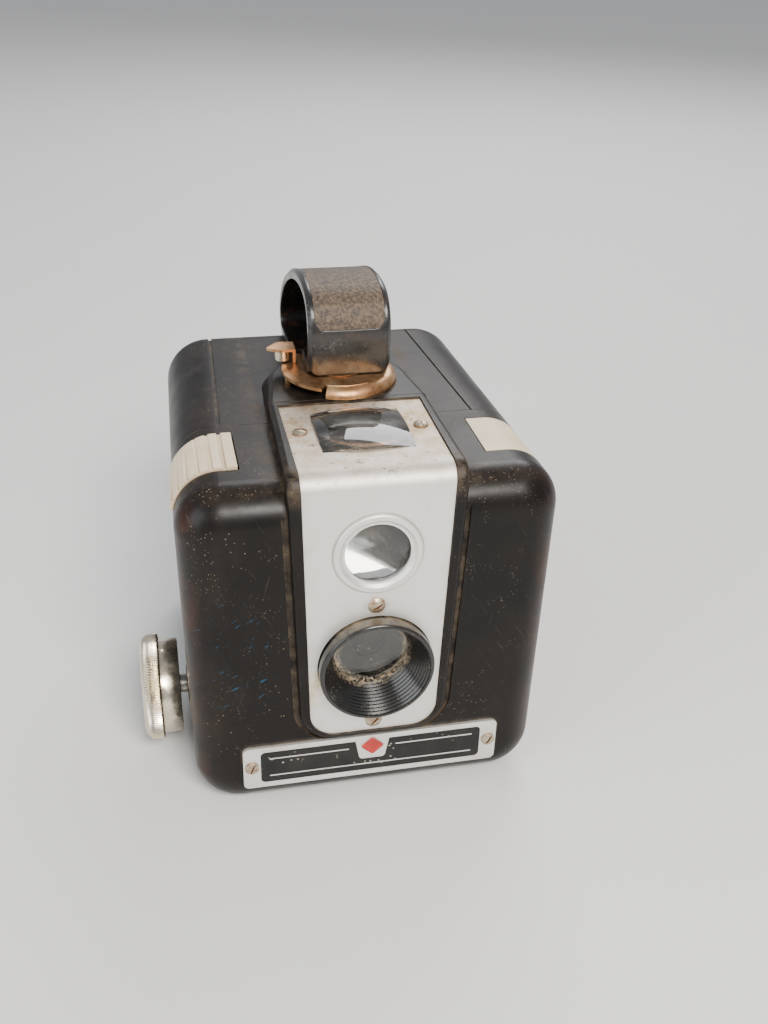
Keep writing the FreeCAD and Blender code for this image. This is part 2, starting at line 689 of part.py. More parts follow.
def release_spring():
    """Coil that lifts the release lever again, hung from the viewfinder housing."""
    return coil(1.6, 0.22, 1.1, 7.6, V(-29.5, 25.1, 69.6), V(0, 0, 1))


def spring_anchor():
    """Bent strip on the side of the housing that the return spring stands on."""
    return fuse(box(-32.5, 23.2, 68.4, -21.0, 28.0, 69.2), box(-21.5, 26.8, 68.4, -12.0, 28.0, 69.2),
                box(-12.8, 26.8, 64.0, -12.0, 28.0, 69.2))


def long_exposure_lever():
    """Flat ivory slide, flush with the casing."""
    body = control_shell(1, 0.3, 0.0, 1.7)
    body = body.common(box(CONTROL_X[1] + 0.3, 0, CONTROL_Z + 0.4, 80, 60, 120))
    return fuse(body, box(34, 20.5, 82.5, 38.5, 30, HEIGHT - 1.4))


def long_exposure_arm():
    """Steel strip under the flat slide that reaches the shutter and holds it open."""
    return fuse(box(35.2, 24.4, 70.0, 37.4, 25.4, 82.45), box(17.0, 24.4, 70.0, 37.4, 25.4, 72.0),
                box(17.0, 24.4, 50.0, 19.0, 25.4, 72.0), box(17.0, 12.6, 50.0, 19.0, 25.4, 51.0))


# ---------------------------------------------------------------- film transport
def pyramid(half_front, half_back, y0, y1):
    """Square tube section that widens from front to back."""
    wires = []
    for y, half in ((y0, half_front), (y1, half_back)):
        wires.append(rounded_wire([(-half, AXIS_Z - half), (half, AXIS_Z - half), (half, AXIS_Z + half),
                                   (-half, AXIS_Z + half)], [0] * 4, in_xz(y)))
    return Part.makeLoft(wires, True, True)


def film_carrier():
    """Light cone with the picture gate at its back and a plate each side for spools and rollers."""
    outer = pyramid(9.0, GATE_HALF + CARRIER_WALL, 18.0, FILM_Y)
    inner = pyramid(8.0, GATE_HALF, 17.9, FILM_Y + 0.1)
    front = cut(prism([(-11, AXIS_Z - 11), (11, AXIS_Z - 11), (11, AXIS_Z + 11), (-11, AXIS_Z + 11)],
                      [2] * 4, in_xz(17.85), V(0, 0.9, 0)), box(-8, 10, AXIS_Z - 8, 8, 30, AXIS_Z + 8))
    gate = cut(box(-CARRIER_HALF, FILM_Y - 1, 14.3 - 2.4, CARRIER_HALF, FILM_Y, 71.3 + 2.4),
               box(-GATE_HALF, FILM_Y - 5, 14.3, GATE_HALF, FILM_Y + 5, 71.3))
    side = prism([(21, 8), (40, 5), (FILM_Y, 9), (FILM_Y, 75), (56, 82), (40, 82), (40, 50), (21, 40)],
                 [3, 3, 3, 3, 3, 3, 3, 3], in_yz(0), V(CARRIER_WALL, 0, 0))
    sides = []
    for x in (-CARRIER_HALF, CARRIER_HALF - CARRIER_WALL):
        plate = side.copy()
        plate.translate(V(x, 0, 0))
        sides.append(plate)
    body = fuse(cut(outer, inner), front, gate, *sides)
    holes = [cyl_x(ROLLER_Y, z, 0.8 + RUN, -50, 50) for z in (LOWER_ROLLER_Z, UPPER_ROLLER_Z)]
    feet = []
    for side_sign in (-1, 1):
        for z in (12.0, 34.0):
            inner_x = side_sign * (CARRIER_HALF - 0.5)
            outer_x = side_sign * (FRONT_HALF_BOTTOM - WALL - 1.9)
            feet.append(box(min(inner_x, outer_x), 21.5 if z > 20 else 24.0, z - 2.5,
                            max(inner_x, outer_x), 22.5 if z > 20 else 25.0, z + 2.5))
    foot_holes = [cyl_y(side * 38.2, z, 0.7, 15, 30) for side in (-1, 1) for z in (12.0, 34.0)]
    return cut(fuse(body, *feet), *holes, *foot_holes, cyl_x(KNOB_Y, KNOB_Z, 5.6, -50, 0),
               cyl_x(KNOB_Y, KNOB_Z, 2.0, 0, 50), cyl_x(SUPPLY_Y, SUPPLY_Z, 2.0, -50, 50), roller_relief())


def roller_relief():
    """Room for the two rollers at the gate's upper and lower edges."""
    inner = CARRIER_HALF - CARRIER_WALL
    return group([cyl_x(ROLLER_Y, z, ROLLER_R + 0.35, -inner, inner)
                  for z in (LOWER_ROLLER_Z, UPPER_ROLLER_Z)])


def film_roller(z):
    """Guide roller above or below the picture gate."""
    half = CARRIER_HALF - CARRIER_WALL - 0.3
    return fuse(cyl_x(ROLLER_Y, z, ROLLER_R, -half, half), cyl_x(ROLLER_Y, z, 0.8, -half - 1.6, half + 1.6))


def casing_brackets():
    """Bosses inside the front half that the carrier's feet are screwed to."""
    solids = []
    for side in (-1, 1):
        for z in (12.0, 34.0):
            y1 = 21.4 if z > 20 else 23.9
            post = cyl_y(side * 38.2, z, 1.9, 6.1, y1)
            solids.append(cut(post, cyl_y(side * 38.2, z, 0.7, y1 - 4, y1 + 1)))
    return group(solids)


def carrier_screws():
    """Screws that hold the film carrier's feet."""
    solids = []
    for side in (-1, 1):
        for z in (12.0, 34.0):
            y = 22.5 if z > 20 else 25.0
            solids.append(screw(V(side * 38.2, y, z), V(0, 1, 0), 1.6, 0.7, 4.0))
    return group(solids)


def spool_clip(side, y, z, height):
    """Flat spring on a side plate with a stub pin that enters the spool's end."""
    face = side * (CARRIER_HALF - CARRIER_WALL)
    near = face - side * 0.4
    leaf = box(min(face, near), y - 3, z - height, max(face, near), y + 3, z + height)
    root = min(face - side * 0.2, face - side * 3.4)
    pin = cyl_x(y, z, 1.6, root, root + 3.2)
    return fuse(leaf, pin)


def supply_clips():
    """Springs that hold the supply spool."""
    return group([spool_clip(side, SUPPLY_Y, SUPPLY_Z, 8) for side in (-1, 1)])


def take_up_clip():
    """Spring at the far end of the take-up spool."""
    return spool_clip(1, KNOB_Y, KNOB_Z, 7)


def take_up_spool():
    """Metal spool: thin flanges on a core slotted at both ends."""
    half = SPOOL_HALF
    body = fuse(cyl_x(KNOB_Y, KNOB_Z, 4.2, -half, half), cyl_x(KNOB_Y, KNOB_Z, SPOOL_R, -half, -half + 0.6),
                cyl_x(KNOB_Y, KNOB_Z, SPOOL_R, half - 0.6, half))
    key = box(-half - 1, KNOB_Y - 3.4, KNOB_Z - 0.8, -half + 4.4, KNOB_Y + 3.4, KNOB_Z + 0.8)
    slot = box(-half + 8, KNOB_Y - 6, KNOB_Z - 0.6, half - 8, KNOB_Y + 6, KNOB_Z + 0.6)
    end = cyl_x(KNOB_Y, KNOB_Z, 1.6 + RUN, half - 5, half + 1)
    return cut(body, key, slot, end)


def knurled(r_in, r_out, teeth, x0, x1):
    """Toothed disc along X."""
    points = []
    for i in range(teeth * 2):
        angle = math.pi * i / teeth
        r = r_out if i % 2 else r_in
        points.append(V(x0, KNOB_Y + r * math.cos(angle), KNOB_Z + r * math.sin(angle)))
    points.append(points[0])
    return Part.Face(Part.makePolygon(points)).extrude(V(x1 - x0, 0, 0))


def winding_knob():
    """Nickel knob: knurled rim with a domed shoulder on a smooth drum, dished on its outer face."""
    band = knurled(KNOB_R - 0.3, KNOB_R, KNURL_TEETH, -53.4, -50.9)
    disc = cyl_x(KNOB_Y, KNOB_Z, KNOB_R - 0.3, -55.8, -50.6)
    disc = disc.makeFillet(2.0, edges_where(disc, lambda b: b.XMax < -55.7 and b.YLength > 20))
    drum = cyl_x(KNOB_Y, KNOB_Z, DRUM_R, -51.0, -46.0)
    dish = Part.makeCone(9.6, 8.8, 0.8, V(-55.9, KNOB_Y, KNOB_Z), V(1, 0, 0))
    stub = cyl_x(KNOB_Y, KNOB_Z, 3.2, -55.6, -50.0)
    hollow = cyl_x(KNOB_Y, KNOB_Z, DRUM_R - 1.4, -50.0, -44.0)
    core = cyl_x(KNOB_Y, KNOB_Z, 4.6, -51.0, -44.6)
    body = fuse(cut(fuse(disc, band, drum), dish, hollow), stub, core)
    return cut(body, cyl_x(KNOB_Y, KNOB_Z, SHAFT_R, -54.0, -40))


def winding_shaft():
    """Shaft pressed in the knob, with a key blade for the spool's slot."""
    shaft = cyl_x(KNOB_Y, KNOB_Z, SHAFT_R, -54.0, COLLAR_X + 1.1)
    key = box(COLLAR_X + 1.05, KNOB_Y - 3.2, KNOB_Z - 0.6, -29.2, KNOB_Y + 3.2, KNOB_Z + 0.6)
    return fuse(shaft, key.common(cyl_x(KNOB_Y, KNOB_Z, 3.3, -36, -20)))


def shaft_collar():
    """Washer on the shaft that slides in and out with the knob."""
    return cut(cyl_x(KNOB_Y, KNOB_Z, 4.2, COLLAR_X, COLLAR_X + 1.0),
               cyl_x(KNOB_Y, KNOB_Z, SHAFT_R + RUN, -50, -30))


def knob_bush():
    """Bush in the casing that the winding shaft runs in."""
    body = fuse(cyl_x(KNOB_Y, KNOB_Z, BUSH_R - 0.02, -44.1, -38.7),
                cyl_x(KNOB_Y, KNOB_Z, 5.7, -39.55, -39.1))
    return cut(body, cyl_x(KNOB_Y, KNOB_Z, SHAFT_R + RUN, -50, -30))


def brake_spring():
    """Flat click spring on the bush that keeps the shaft from turning back."""
    ring = cut(cyl_x(KNOB_Y, KNOB_Z, 5.7, -39.05, -38.7), cyl_x(KNOB_Y, KNOB_Z, BUSH_R, -50, -30))
    arm = box(-39.05, KNOB_Y - 1.2, KNOB_Z + 5.2, -38.7, KNOB_Y + 1.2, KNOB_Z + 12)
    return fuse(ring, arm)


# ---------------------------------------------------------------- rear half
def decor_grooves():
    """Moulded lines along the top, one each side of the spine, running on down the back."""
    skin = cut(casing_form(-1), casing_form(0.45))
    lines = []
    for side, width, rear_x in ((-1, 0.9, 28.7), (1, 0.5, 27.0)):
        line = prism([(side * LINE_X, SEAM_Y - 1), (side * (LINE_X + width), SEAM_Y - 1),
                      (side * (rear_x + width), DEPTH + 2), (side * rear_x, DEPTH + 2)],
                     [0] * 4, in_xy(6), V(0, 0, 100))
        lines.append(skin.common(line).common(box(-80, SEAM_Y, 12, 80, 140, 120)))
    return lines


def rear_cover():
    """Rear half of the casing, with the tongue round the latch."""
    outer = casing_outside().common(half_space(SEAM_Y + SEAM_GAP / 2, 140))
    tongue = spine_rear().common(half_space(SEAM_Y + SEAM_GAP / 2, 140))
    body = fuse(outer, tongue)
    spine_hollow = box(-12.5, SEAM_Y - 1, HEIGHT - 12, 12.5, 60, SPINE_TOP - 2.6)
    body = cut(body, casing_form(WALL), spine_hollow)
    body = fuse(body, cyl_y(0, RED_WINDOW_Z, 9.0, DEPTH - WALL - 0.6, DEPTH - WALL + 0.5))
    rivets = [cyl_z(LATCH_X, LATCH_Y, 1.6, 80, 100), cyl_z(HANDLE_X, REAR_RIVET_Y, 1.6, 80, 100)]
    return cut(body, hinge_groove(), *decor_grooves(), cyl_y(0, RED_WINDOW_Z, RED_WINDOW_R, 90, 120),
               cyl_y(0, RED_WINDOW_Z, RED_WINDOW_R + 1.2, DEPTH - 0.9, 120),
               box(-4.2, SEAM_Y - 1, SPINE_TOP - 0.5, 4.2, SEAM_Y + 10, 110), *rivets)


def red_window():
    """Film window in the back."""
    return cyl_y(0, RED_WINDOW_Z, RED_WINDOW_R + 1.5, DEPTH - WALL - 1.2, DEPTH - WALL - 0.62)


def red_window_ring():
    """Ring round the red window on the outside."""
    ring = cut(cyl_y(0, RED_WINDOW_Z, RED_WINDOW_R + 1.18, DEPTH - 0.88, DEPTH - 0.05),
               cyl_y(0, RED_WINDOW_Z, RED_WINDOW_R - 0.2, 90, 120))
    return ring


def hinge_leaf(side):
    """One leaf of the hinge; side is -1 for the front leaf and 1 for the rear leaf."""
    knuckles = 7
    length = 2 * HINGE_HALF / knuckles
    floor = WALL + 0.02
    inner = side * HINGE_GROOVE
    reach = side * 9.5
    plate = box(-HINGE_HALF, SEAM_Y + min(inner, reach), floor,
                HINGE_HALF, SEAM_Y + max(inner, reach), floor + LEAF)
    pieces = []
    for i in range(knuckles):
        if (i % 2 == 0) != (side > 0):
            continue
        x0 = -HINGE_HALF + i * length + 0.1
        x1 = -HINGE_HALF + (i + 1) * length - 0.1
        pieces.append(cyl_x(SEAM_Y, HINGE_Z, HINGE_R, x0, x1))
        edge = side * (HINGE_GROOVE + 0.3)
        pieces.append(box(x0, SEAM_Y + min(side * 0.5, edge), floor,
                          x1, SEAM_Y + max(side * 0.5, edge), floor + LEAF))
        pieces.append(box(x0, SEAM_Y + min(side * 0.5, side * HINGE_R), HINGE_Z, x1,
                          SEAM_Y + max(side * 0.5, side * HINGE_R), floor + LEAF))
    body = fuse(plate, *pieces)
    return cut(body, cyl_x(SEAM_Y, HINGE_Z, HINGE_PIN_R + RUN, -50, 50))


def hinge_pin():
    """Pin through both leaves' knuckles."""
    return cyl_x(SEAM_Y, HINGE_Z, HINGE_PIN_R, -HINGE_HALF - 0.4, HINGE_HALF + 0.4)


# ---------------------------------------------------------------- latch and handle
def sector(r0, r1, z0, z1, start, stop):
    """Part of a ring about the latch's axis between two angles, in degrees from +X."""
    outer = Part.makeCylinder(r1, z1 - z0, V(LATCH_X, LATCH_Y, z0), V(0, 0, 1), stop - start)
    outer.rotate(V(LATCH_X, LATCH_Y, 0), V(0, 0, 1), start)
    return cut(outer, cyl_z(LATCH_X, LATCH_Y, r0, z0 - 1, z1 + 1))


def latch_post():
    """Brass spacer the latch turns on; the handle's front foot stands on it."""
    return cut(cyl_z(LATCH_X, LATCH_Y, LATCH_POST_R, SPINE_TOP, HANDLE_FOOT_Z - 0.02),
               cyl_z(LATCH_X, LATCH_Y, 1.6, 90, 110))


def skirt_section():
    """Cross section of the latch's rolled edge: a quarter ring of sheet."""
    r = LATCH_X + LATCH_R - LATCH_ROLL
    z = SPINE_TOP + LATCH_FLOAT
    thin = LATCH_ROLL - LATCH_SHEET
    lean = math.sqrt(0.5)
    outer = Part.Arc(V(r + LATCH_ROLL, LATCH_Y, z), V(r + LATCH_ROLL * lean, LATCH_Y, z + LATCH_ROLL * lean),
                     V(r, LATCH_Y, z + LATCH_ROLL)).toShape()
    inner = Part.Arc(V(r, LATCH_Y, z + thin), V(r + thin * lean, LATCH_Y, z + thin * lean),
                     V(r + thin, LATCH_Y, z)).toShape()
    top = Part.LineSegment(V(r, LATCH_Y, z + LATCH_ROLL), V(r, LATCH_Y, z + thin)).toShape()
    foot = Part.LineSegment(V(r + thin, LATCH_Y, z), V(r + LATCH_ROLL, LATCH_Y, z)).toShape()
    return Part.Face(Part.Wire([outer, top, inner, foot]))


def swept(face, start, stop):
    """Face turned about the latch's axis from one angle to another, in degrees from +X."""
    face = face.copy()
    face.rotate(V(LATCH_X, LATCH_Y, 0), V(0, 0, 1), start)
    return face.revolve(V(LATCH_X, LATCH_Y, 0), V(0, 0, 1), stop - start)


def latch_plate():
    """Stamped ring, slit in front, with a rolled skirt over the catch and a finger tab on the left."""
    high = SPINE_TOP + LATCH_FLOAT + LATCH_ROLL
    low = high - LATCH_SHEET
    bore = LATCH_POST_R + RUN + 0.1
    fold_r = LATCH_R - LATCH_ROLL
    ring = sector(bore, fold_r - 0.4, low, high, 0, 360)
    arm = sector(bore + 1, LATCH_R, low, high, 132, 243)
    skirt = swept(skirt_section(), SKIRT_START, SKIRT_STOP)
    bridge = sector(fold_r - 1, fold_r + 0.05, low, high, SLIT_STOP, SKIRT_STOP)
    bead_spot = V(LATCH_X + fold_r + 0.2, LATCH_Y, high)
    round_section = Part.Face(Part.Wire([Part.makeCircle(0.26, bead_spot, V(0, 1, 0))]))
    bead = swept(round_section, SKIRT_START, SLIT_STOP)
    lug = sector(LATCH_R - LATCH_SHEET, LATCH_R, SPINE_TOP + LATCH_FLOAT, high, 192, 198)
    tab = prism([(-10.6, 55.2), (-10.6, 60.4), (-14.6, 60.9), (-18.0, 57.2), (-14.4, 55.0)],
                [0, 0.8, 1.5, 0.5, 1.5], in_xy(high + TAB_RISE), V(0, 0, 0.7))
    web = box(-11.3, 55.2, low, -10.6, 60.4, high + TAB_RISE + 0.7)
    return fuse(ring, arm, skirt, bridge, bead, lug, tab, web)


def latch_stud():
    """Bright roller between the ring and the finger tab."""
    low = SPINE_TOP + LATCH_FLOAT + LATCH_ROLL + 0.02
    return fuse(cyl_z(STUD_X, STUD_Y, 2.1, low + 0.5, low + TAB_RISE - 0.04),
                cyl_z(STUD_X, STUD_Y, 1.2, low, low + 1))


def latch_catch():
    """Strip of the front half that reaches back under the latch's skirt."""
    return box(-3.6, CATCH_Y, SPINE_TOP - 0.43, 3.6, SEAM_Y + 5, SPINE_TOP + 0.1)


def strap_points(inset):
    """Points along the side of the strap handle, moved in from its outer surface."""
    line = Part.BSplineCurve()
    path = [(HANDLE_FRONT_Y, HANDLE_FOOT_Z)] + HANDLE_CREST + [(HANDLE_REAR_Y, HANDLE_REAR_Z)]
    line.interpolate([V(-40, y, z) for y, z in path])
    points = []
    steps = 36
    for i in range(steps + 1):
        at = line.FirstParameter + (line.LastParameter - line.FirstParameter) * i / steps
        along = line.tangent(at)[0]
        points.append(line.value(at) + along.cross(V(1, 0, 0)) * inset)
    return points


def strap_outline(inset):
    """Everything inside the strap's side curve at one inset, down to its two feet, as a wide prism."""
    points = strap_points(inset)
    curve = Part.BSplineCurve()
    curve.interpolate(points)
    first = points[0]
    last = points[-1]
    middle = 70
    path = [last, V(-40, middle, last.z), V(-40, middle, first.z), first]
    lines = [Part.LineSegment(path[i], path[i + 1]).toShape() for i in range(3)]
    return Part.Face(Part.Wire([curve.toShape()] + lines)).extrude(V(80, 0, 0))


def leg_corners():
    """Pieces that leave the lower corners of the front leg round."""
    r = 3.0
    pieces = []
    for side in (-1, 1):
        edge = HANDLE_X + side * HANDLE_HALF
        inner = edge - side * r
        block = box(min(edge, inner) - 0.1, 40, HANDLE_FOOT_Z - 1,
                    max(edge, inner) + 0.1, 48.8, HANDLE_FOOT_Z + r)
        centre = cyl_y(inner, HANDLE_FOOT_Z + r, r, 39, 50)
        beyond = inner - side * r
        pieces.append(cut(block, centre, box(min(inner, beyond), 39, 90, max(inner, beyond), 50, 110)))
    return pieces


def handle():
    """Strap handle bent to a forward-leaning loop, with feet turned in and a sunk panel for the grip."""
    outer = strap_outline(0)
    outer = outer.common(box(HANDLE_X - HANDLE_HALF, 0, 80, HANDLE_X + HANDLE_HALF, 130, 130))
    side_rims = edges_where(outer, lambda b: b.XLength < 0.1 and b.YLength > 40 and b.ZLength > 10)
    outer = outer.makeChamfer(0.9, side_rims)
    feet = fuse(box(-40, 0, HANDLE_FOOT_Z, 40, LATCH_Y + 5.6, HANDLE_FOOT_Z + HANDLE_T),
                box(-40, REAR_RIVET_Y - 6, HANDLE_REAR_Z, 40, 130, HANDLE_REAR_Z + HANDLE_T)).common(outer)
    hollow = strap_outline(HANDLE_T).common(box(-50, 0, 80, 50, 130, 130))
    below = fuse(box(-50, 40, 70, 50, 110, HANDLE_REAR_Z + 0.01),
                 box(-50, LATCH_Y + 5.6, 70, 50, REAR_RIVET_Y - 6, HANDLE_FOOT_Z + HANDLE_T))
    body = fuse(cut(outer, hollow, below), feet)
    body = cut(body, grip_block(-2, GRIP_DEEP, 0), *leg_corners())
    rivets = [cyl_z(LATCH_X, LATCH_Y, 1.6, 90, 110), cyl_z(HANDLE_X, REAR_RIVET_Y, 1.6, 80, 110)]
    return cut(body, *rivets)


def grip_block(start, stop, shrink):
    """Skin of the arch between two depths, over the top and part way down each leg."""
    shell = cut(strap_outline(start), strap_outline(stop))
    half = GRIP_HALF - shrink
    window = prism([(HANDLE_X - half, GRIP_Z + shrink), (HANDLE_X + half, GRIP_Z + shrink),
                    (HANDLE_X + half, 140), (HANDLE_X - half, 140)],
                   [2.6, 2.6, 0, 0], in_xz(HANDLE_FRONT_Y - 10), V(0, 90, 0))
    return shell.common(window)


def handle_grip():
    """Grained panel sunk in the handle."""
    return grip_block(0.12, GRIP_DEEP - 0.02, 0.05)


def handle_rivets():
    """A tubular rivet through each foot of the handle."""
    solids = []
    wall = 2.42
    for x, y, deck, head_z in ((LATCH_X, LATCH_Y, SPINE_TOP - 0.2, HANDLE_FOOT_Z + HANDLE_T),
                               (HANDLE_X, REAR_RIVET_Y, HANDLE_REAR_Z - 0.15, HANDLE_REAR_Z + HANDLE_T)):
        shank = cyl_z(x, y, 1.58, deck - wall - 0.6, head_z)
        head = cyl_z(x, y, 2.15, head_z, head_z + 0.8)
        foot = cyl_z(x, y, 2.6, deck - wall - 0.7, deck - wall - 0.05)
        solids.append(fuse(shank, head, foot))
    return group(solids)


def build():
    """Builds and writes every node."""
    os.makedirs("parts", exist_ok=True)
    arm, arm_pocket = release_arm()
    parts = {
        "front_casing": front_casing(),
        "casing_posts": casing_brackets(),
        "faceplate": faceplate(),
        "faceplate_screws": faceplate_screws(),
        "nameplate": nameplate(),
        "nameplate_inlay": nameplate_inlay(),
        "nameplate_ornament": nameplate_ornament(),
        "nameplate_screws": nameplate_screws(),
        "lens_hood": lens_hood(),
        "front_glass": front_glass(),
        "glass_ring": glass_ring(),
        "shutter_plate": shutter_plate(),
        "shutter_posts": shutter_posts(),
        "shutter_disc": shutter_disc(),
        "shutter_pin": shutter_pin(),
        "lens_holder": lens_holder(),
        "meniscus_lens": meniscus_lens(),
        "viewfinder_housing": viewfinder_housing(),
        "viewfinder_mirror": viewfinder_mirror(),
        "viewfinder_window": viewfinder_window(),
        "viewfinder_top_lens": viewfinder_top_lens(),
        "release_button": cut(release_button(), arm_pocket),
        "release_arm": arm,
        "release_pin": release_pin(),
        "release_spring": release_spring(),
        "spring_anchor": spring_anchor(),
        "long_exposure_lever": long_exposure_lever(),
        "long_exposure_arm": long_exposure_arm(),
        "film_carrier": film_carrier(),
        "carrier_screws": carrier_screws(),
        "supply_clips": supply_clips(),
        "take_up_clip": take_up_clip(),
        "upper_film_roller": film_roller(UPPER_ROLLER_Z),
        "lower_film_roller": film_roller(LOWER_ROLLER_Z),
        "take_up_spool": take_up_spool(),
        "winding_knob": winding_knob(),
        "winding_shaft": winding_shaft(),
        "shaft_collar": shaft_collar(),
        "knob_bush": knob_bush(),
        "brake_spring": brake_spring(),
        "rear_cover": rear_cover(),
        "red_window": red_window(),
        "red_window_ring": red_window_ring(),
        "hinge_front_leaf": hinge_leaf(-1),
        "hinge_rear_leaf": hinge_leaf(1),
        "hinge_pin": hinge_pin(),
        "latch_post": latch_post(),
        "latch_plate": latch_plate(),
        "latch_stud": latch_stud(),
        "latch_catch": latch_catch(),
        "handle": handle(),
        "handle_grip": handle_grip(),
        "handle_rivets": handle_rivets(),
    }
    for name, shape in parts.items():
        save(name, shape)
        solids = shape.Solids
        print(name, "solids", len(solids), "valid", shape.isValid(), "volume mm3", round(shape.Volume, 1))


build()
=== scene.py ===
import json
import math

import bmesh
import bpy
from mathutils import Matrix, Vector


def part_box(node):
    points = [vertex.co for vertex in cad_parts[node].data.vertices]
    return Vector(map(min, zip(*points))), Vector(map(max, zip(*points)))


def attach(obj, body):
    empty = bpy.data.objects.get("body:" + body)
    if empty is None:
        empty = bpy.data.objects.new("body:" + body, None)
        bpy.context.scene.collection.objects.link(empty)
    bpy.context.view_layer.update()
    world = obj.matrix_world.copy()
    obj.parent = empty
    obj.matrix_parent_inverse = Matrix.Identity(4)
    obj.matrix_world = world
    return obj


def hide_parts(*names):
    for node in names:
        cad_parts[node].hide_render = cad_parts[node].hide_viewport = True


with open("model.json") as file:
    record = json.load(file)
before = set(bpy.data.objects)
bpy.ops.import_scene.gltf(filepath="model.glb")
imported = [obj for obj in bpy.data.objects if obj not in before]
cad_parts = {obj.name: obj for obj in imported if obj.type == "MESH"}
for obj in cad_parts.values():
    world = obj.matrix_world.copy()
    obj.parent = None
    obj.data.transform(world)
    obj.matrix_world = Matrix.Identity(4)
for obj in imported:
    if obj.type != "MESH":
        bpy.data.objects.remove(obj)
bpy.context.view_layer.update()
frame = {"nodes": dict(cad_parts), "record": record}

MM = 0.001
X, Y, Z = range(3)
SHOULDER_TOP = 90 * MM        # top of the casing beside its raised spine


# ---------------------------------------------------------------- node helpers
class Surface:
    """A material under construction: short calls for the nodes that the surfaces here need."""

    def __init__(self, name):
        self.material = bpy.data.materials.new(name)
        self.material.use_nodes = True
        self.tree = self.material.node_tree
        self.shader = self.tree.nodes["Principled BSDF"]
        self.output = self.tree.nodes["Material Output"]
        self.coords = self.tree.nodes.new("ShaderNodeTexCoord").outputs["Object"]

    def node(self, kind, **settings):
        """New node of a kind, with its settings."""
        made = self.tree.nodes.new(kind)
        for key, value in settings.items():
            setattr(made, key, value)
        return made

    def feed(self, socket, value):
        """Links a socket to another, or sets it where value is a plain number or colour."""
        if isinstance(value, bpy.types.NodeSocket):
            self.tree.links.new(value, socket)
        else:
            socket.default_value = value

    def noise(self, scale, detail=4.0, rough=0.55, stretch=(1, 1, 1), turn=(0, 0, 0), shift=(0, 0, 0)):
        """Noise value; scale is in features per metre, finer by stretch along each turned axis."""
        place = self.node("ShaderNodeMapping", vector_type="TEXTURE")
        place.inputs["Scale"].default_value = [1 / value for value in stretch]
        place.inputs["Rotation"].default_value = turn
        place.inputs["Location"].default_value = shift
        self.feed(place.inputs["Vector"], self.coords)
        made = self.node("ShaderNodeTexNoise")
        self.feed(made.inputs["Vector"], place.outputs[0])
        made.inputs["Scale"].default_value = scale
        made.inputs["Detail"].default_value = detail
        made.inputs["Roughness"].default_value = rough
        return made.outputs["Fac"]

    def specks(self, scale, size, shift=(0, 0, 0)):
        """1 in small round dots scattered at scale per metre, 0 between them."""
        place = self.node("ShaderNodeMapping")
        place.inputs["Location"].default_value = shift
        self.feed(place.inputs["Vector"], self.coords)
        made = self.node("ShaderNodeTexVoronoi")
        self.feed(made.inputs["Vector"], place.outputs[0])
        made.inputs["Scale"].default_value = scale
        return self.ramp(made.outputs["Distance"], size, size * 0.5)

    def clustered(self, specks, spread, bare, full, shift=(0, 0, 0)):
        """Thins specks into clusters by a noise, spread per metre: none under bare, all over full."""
        return self.times(specks, self.ramp(self.noise(spread, 3, shift=shift), bare, full))

    def ramp(self, value, zero_at, one_at):
        """Straight ramp that is 0 at one value and 1 at the other, clamped."""
        made = self.node("ShaderNodeMapRange")
        self.feed(made.inputs["Value"], value)
        made.inputs["From Min"].default_value = zero_at
        made.inputs["From Max"].default_value = one_at
        return made.outputs["Result"]

    def math(self, operation, a, b=0.0, clamp=False):
        """One Math node."""
        made = self.node("ShaderNodeMath", operation=operation, use_clamp=clamp)
        self.feed(made.inputs[0], a)
        self.feed(made.inputs[1], b)
        return made.outputs[0]

    def times(self, *values):
        """Product of two or more values."""
        result = values[0]
        for value in values[1:]:
            result = self.math("MULTIPLY", result, value)
        return result

    def plus(self, a, b):
        """Sum of two values, kept between 0 and 1."""
        return self.math("ADD", a, b, clamp=True)

    def mix(self, factor, a, b):
        """Colour a where the factor is 0, colour b where it is 1."""
        made = self.node("ShaderNodeMix", data_type="RGBA")
        self.feed(made.inputs["Factor"], factor)
        for socket, value in ((made.inputs[6], a), (made.inputs[7], b)):
            self.feed(socket, value if isinstance(value, bpy.types.NodeSocket) else (*value, 1.0))
        return made.outputs[2]

    def axis(self, index):
        """One object coordinate, in metres."""
        made = self.node("ShaderNodeSeparateXYZ")
        self.feed(made.inputs[0], self.coords)
        return made.outputs[index]

    def distance(self, point):
        """Distance from a point, in metres."""
        made = self.node("ShaderNodeVectorMath", operation="DISTANCE")
        self.feed(made.inputs[0], self.coords)
        made.inputs[1].default_value = point
        return made.outputs["Value"]

    def near(self, centre, radius, soft):
        """1 within radius of a point, falling to 0 over soft; all in metres."""
        return self.ramp(self.distance(centre), radius + soft, radius)

    def crevice(self, distance):
        """1 deep in corners and grooves, 0 in the open."""
        made = self.node("ShaderNodeAmbientOcclusion", samples=6)
        made.inputs["Distance"].default_value = distance
        return self.ramp(made.outputs["AO"], 0.82, 0.35)

    def crevice_dirt_and_shade(self, distance, scale, bare, full, detail=4, rough=0.55):
        """Corners and grooves, broken up by a noise that starts at bare and is whole at full: dirt, and
        painted shade where it darkens a surface.
        """
        return self.times(self.crevice(distance), self.ramp(self.noise(scale, detail, rough), bare, full))

    def bump(self, height, distance, strength=1.0, soften=0.0):
        """Fine relief over edges that are softened by the given radius in millimetres."""
        made = self.node("ShaderNodeBump")
        self.feed(made.inputs["Height"], height)
        made.inputs["Distance"].default_value = distance
        made.inputs["Strength"].default_value = strength
        if soften:
            edge = self.node("ShaderNodeBevel", samples=4)
            edge.inputs["Radius"].default_value = soften * MM
            self.feed(made.inputs["Normal"], edge.outputs[0])
        return made.outputs[0]

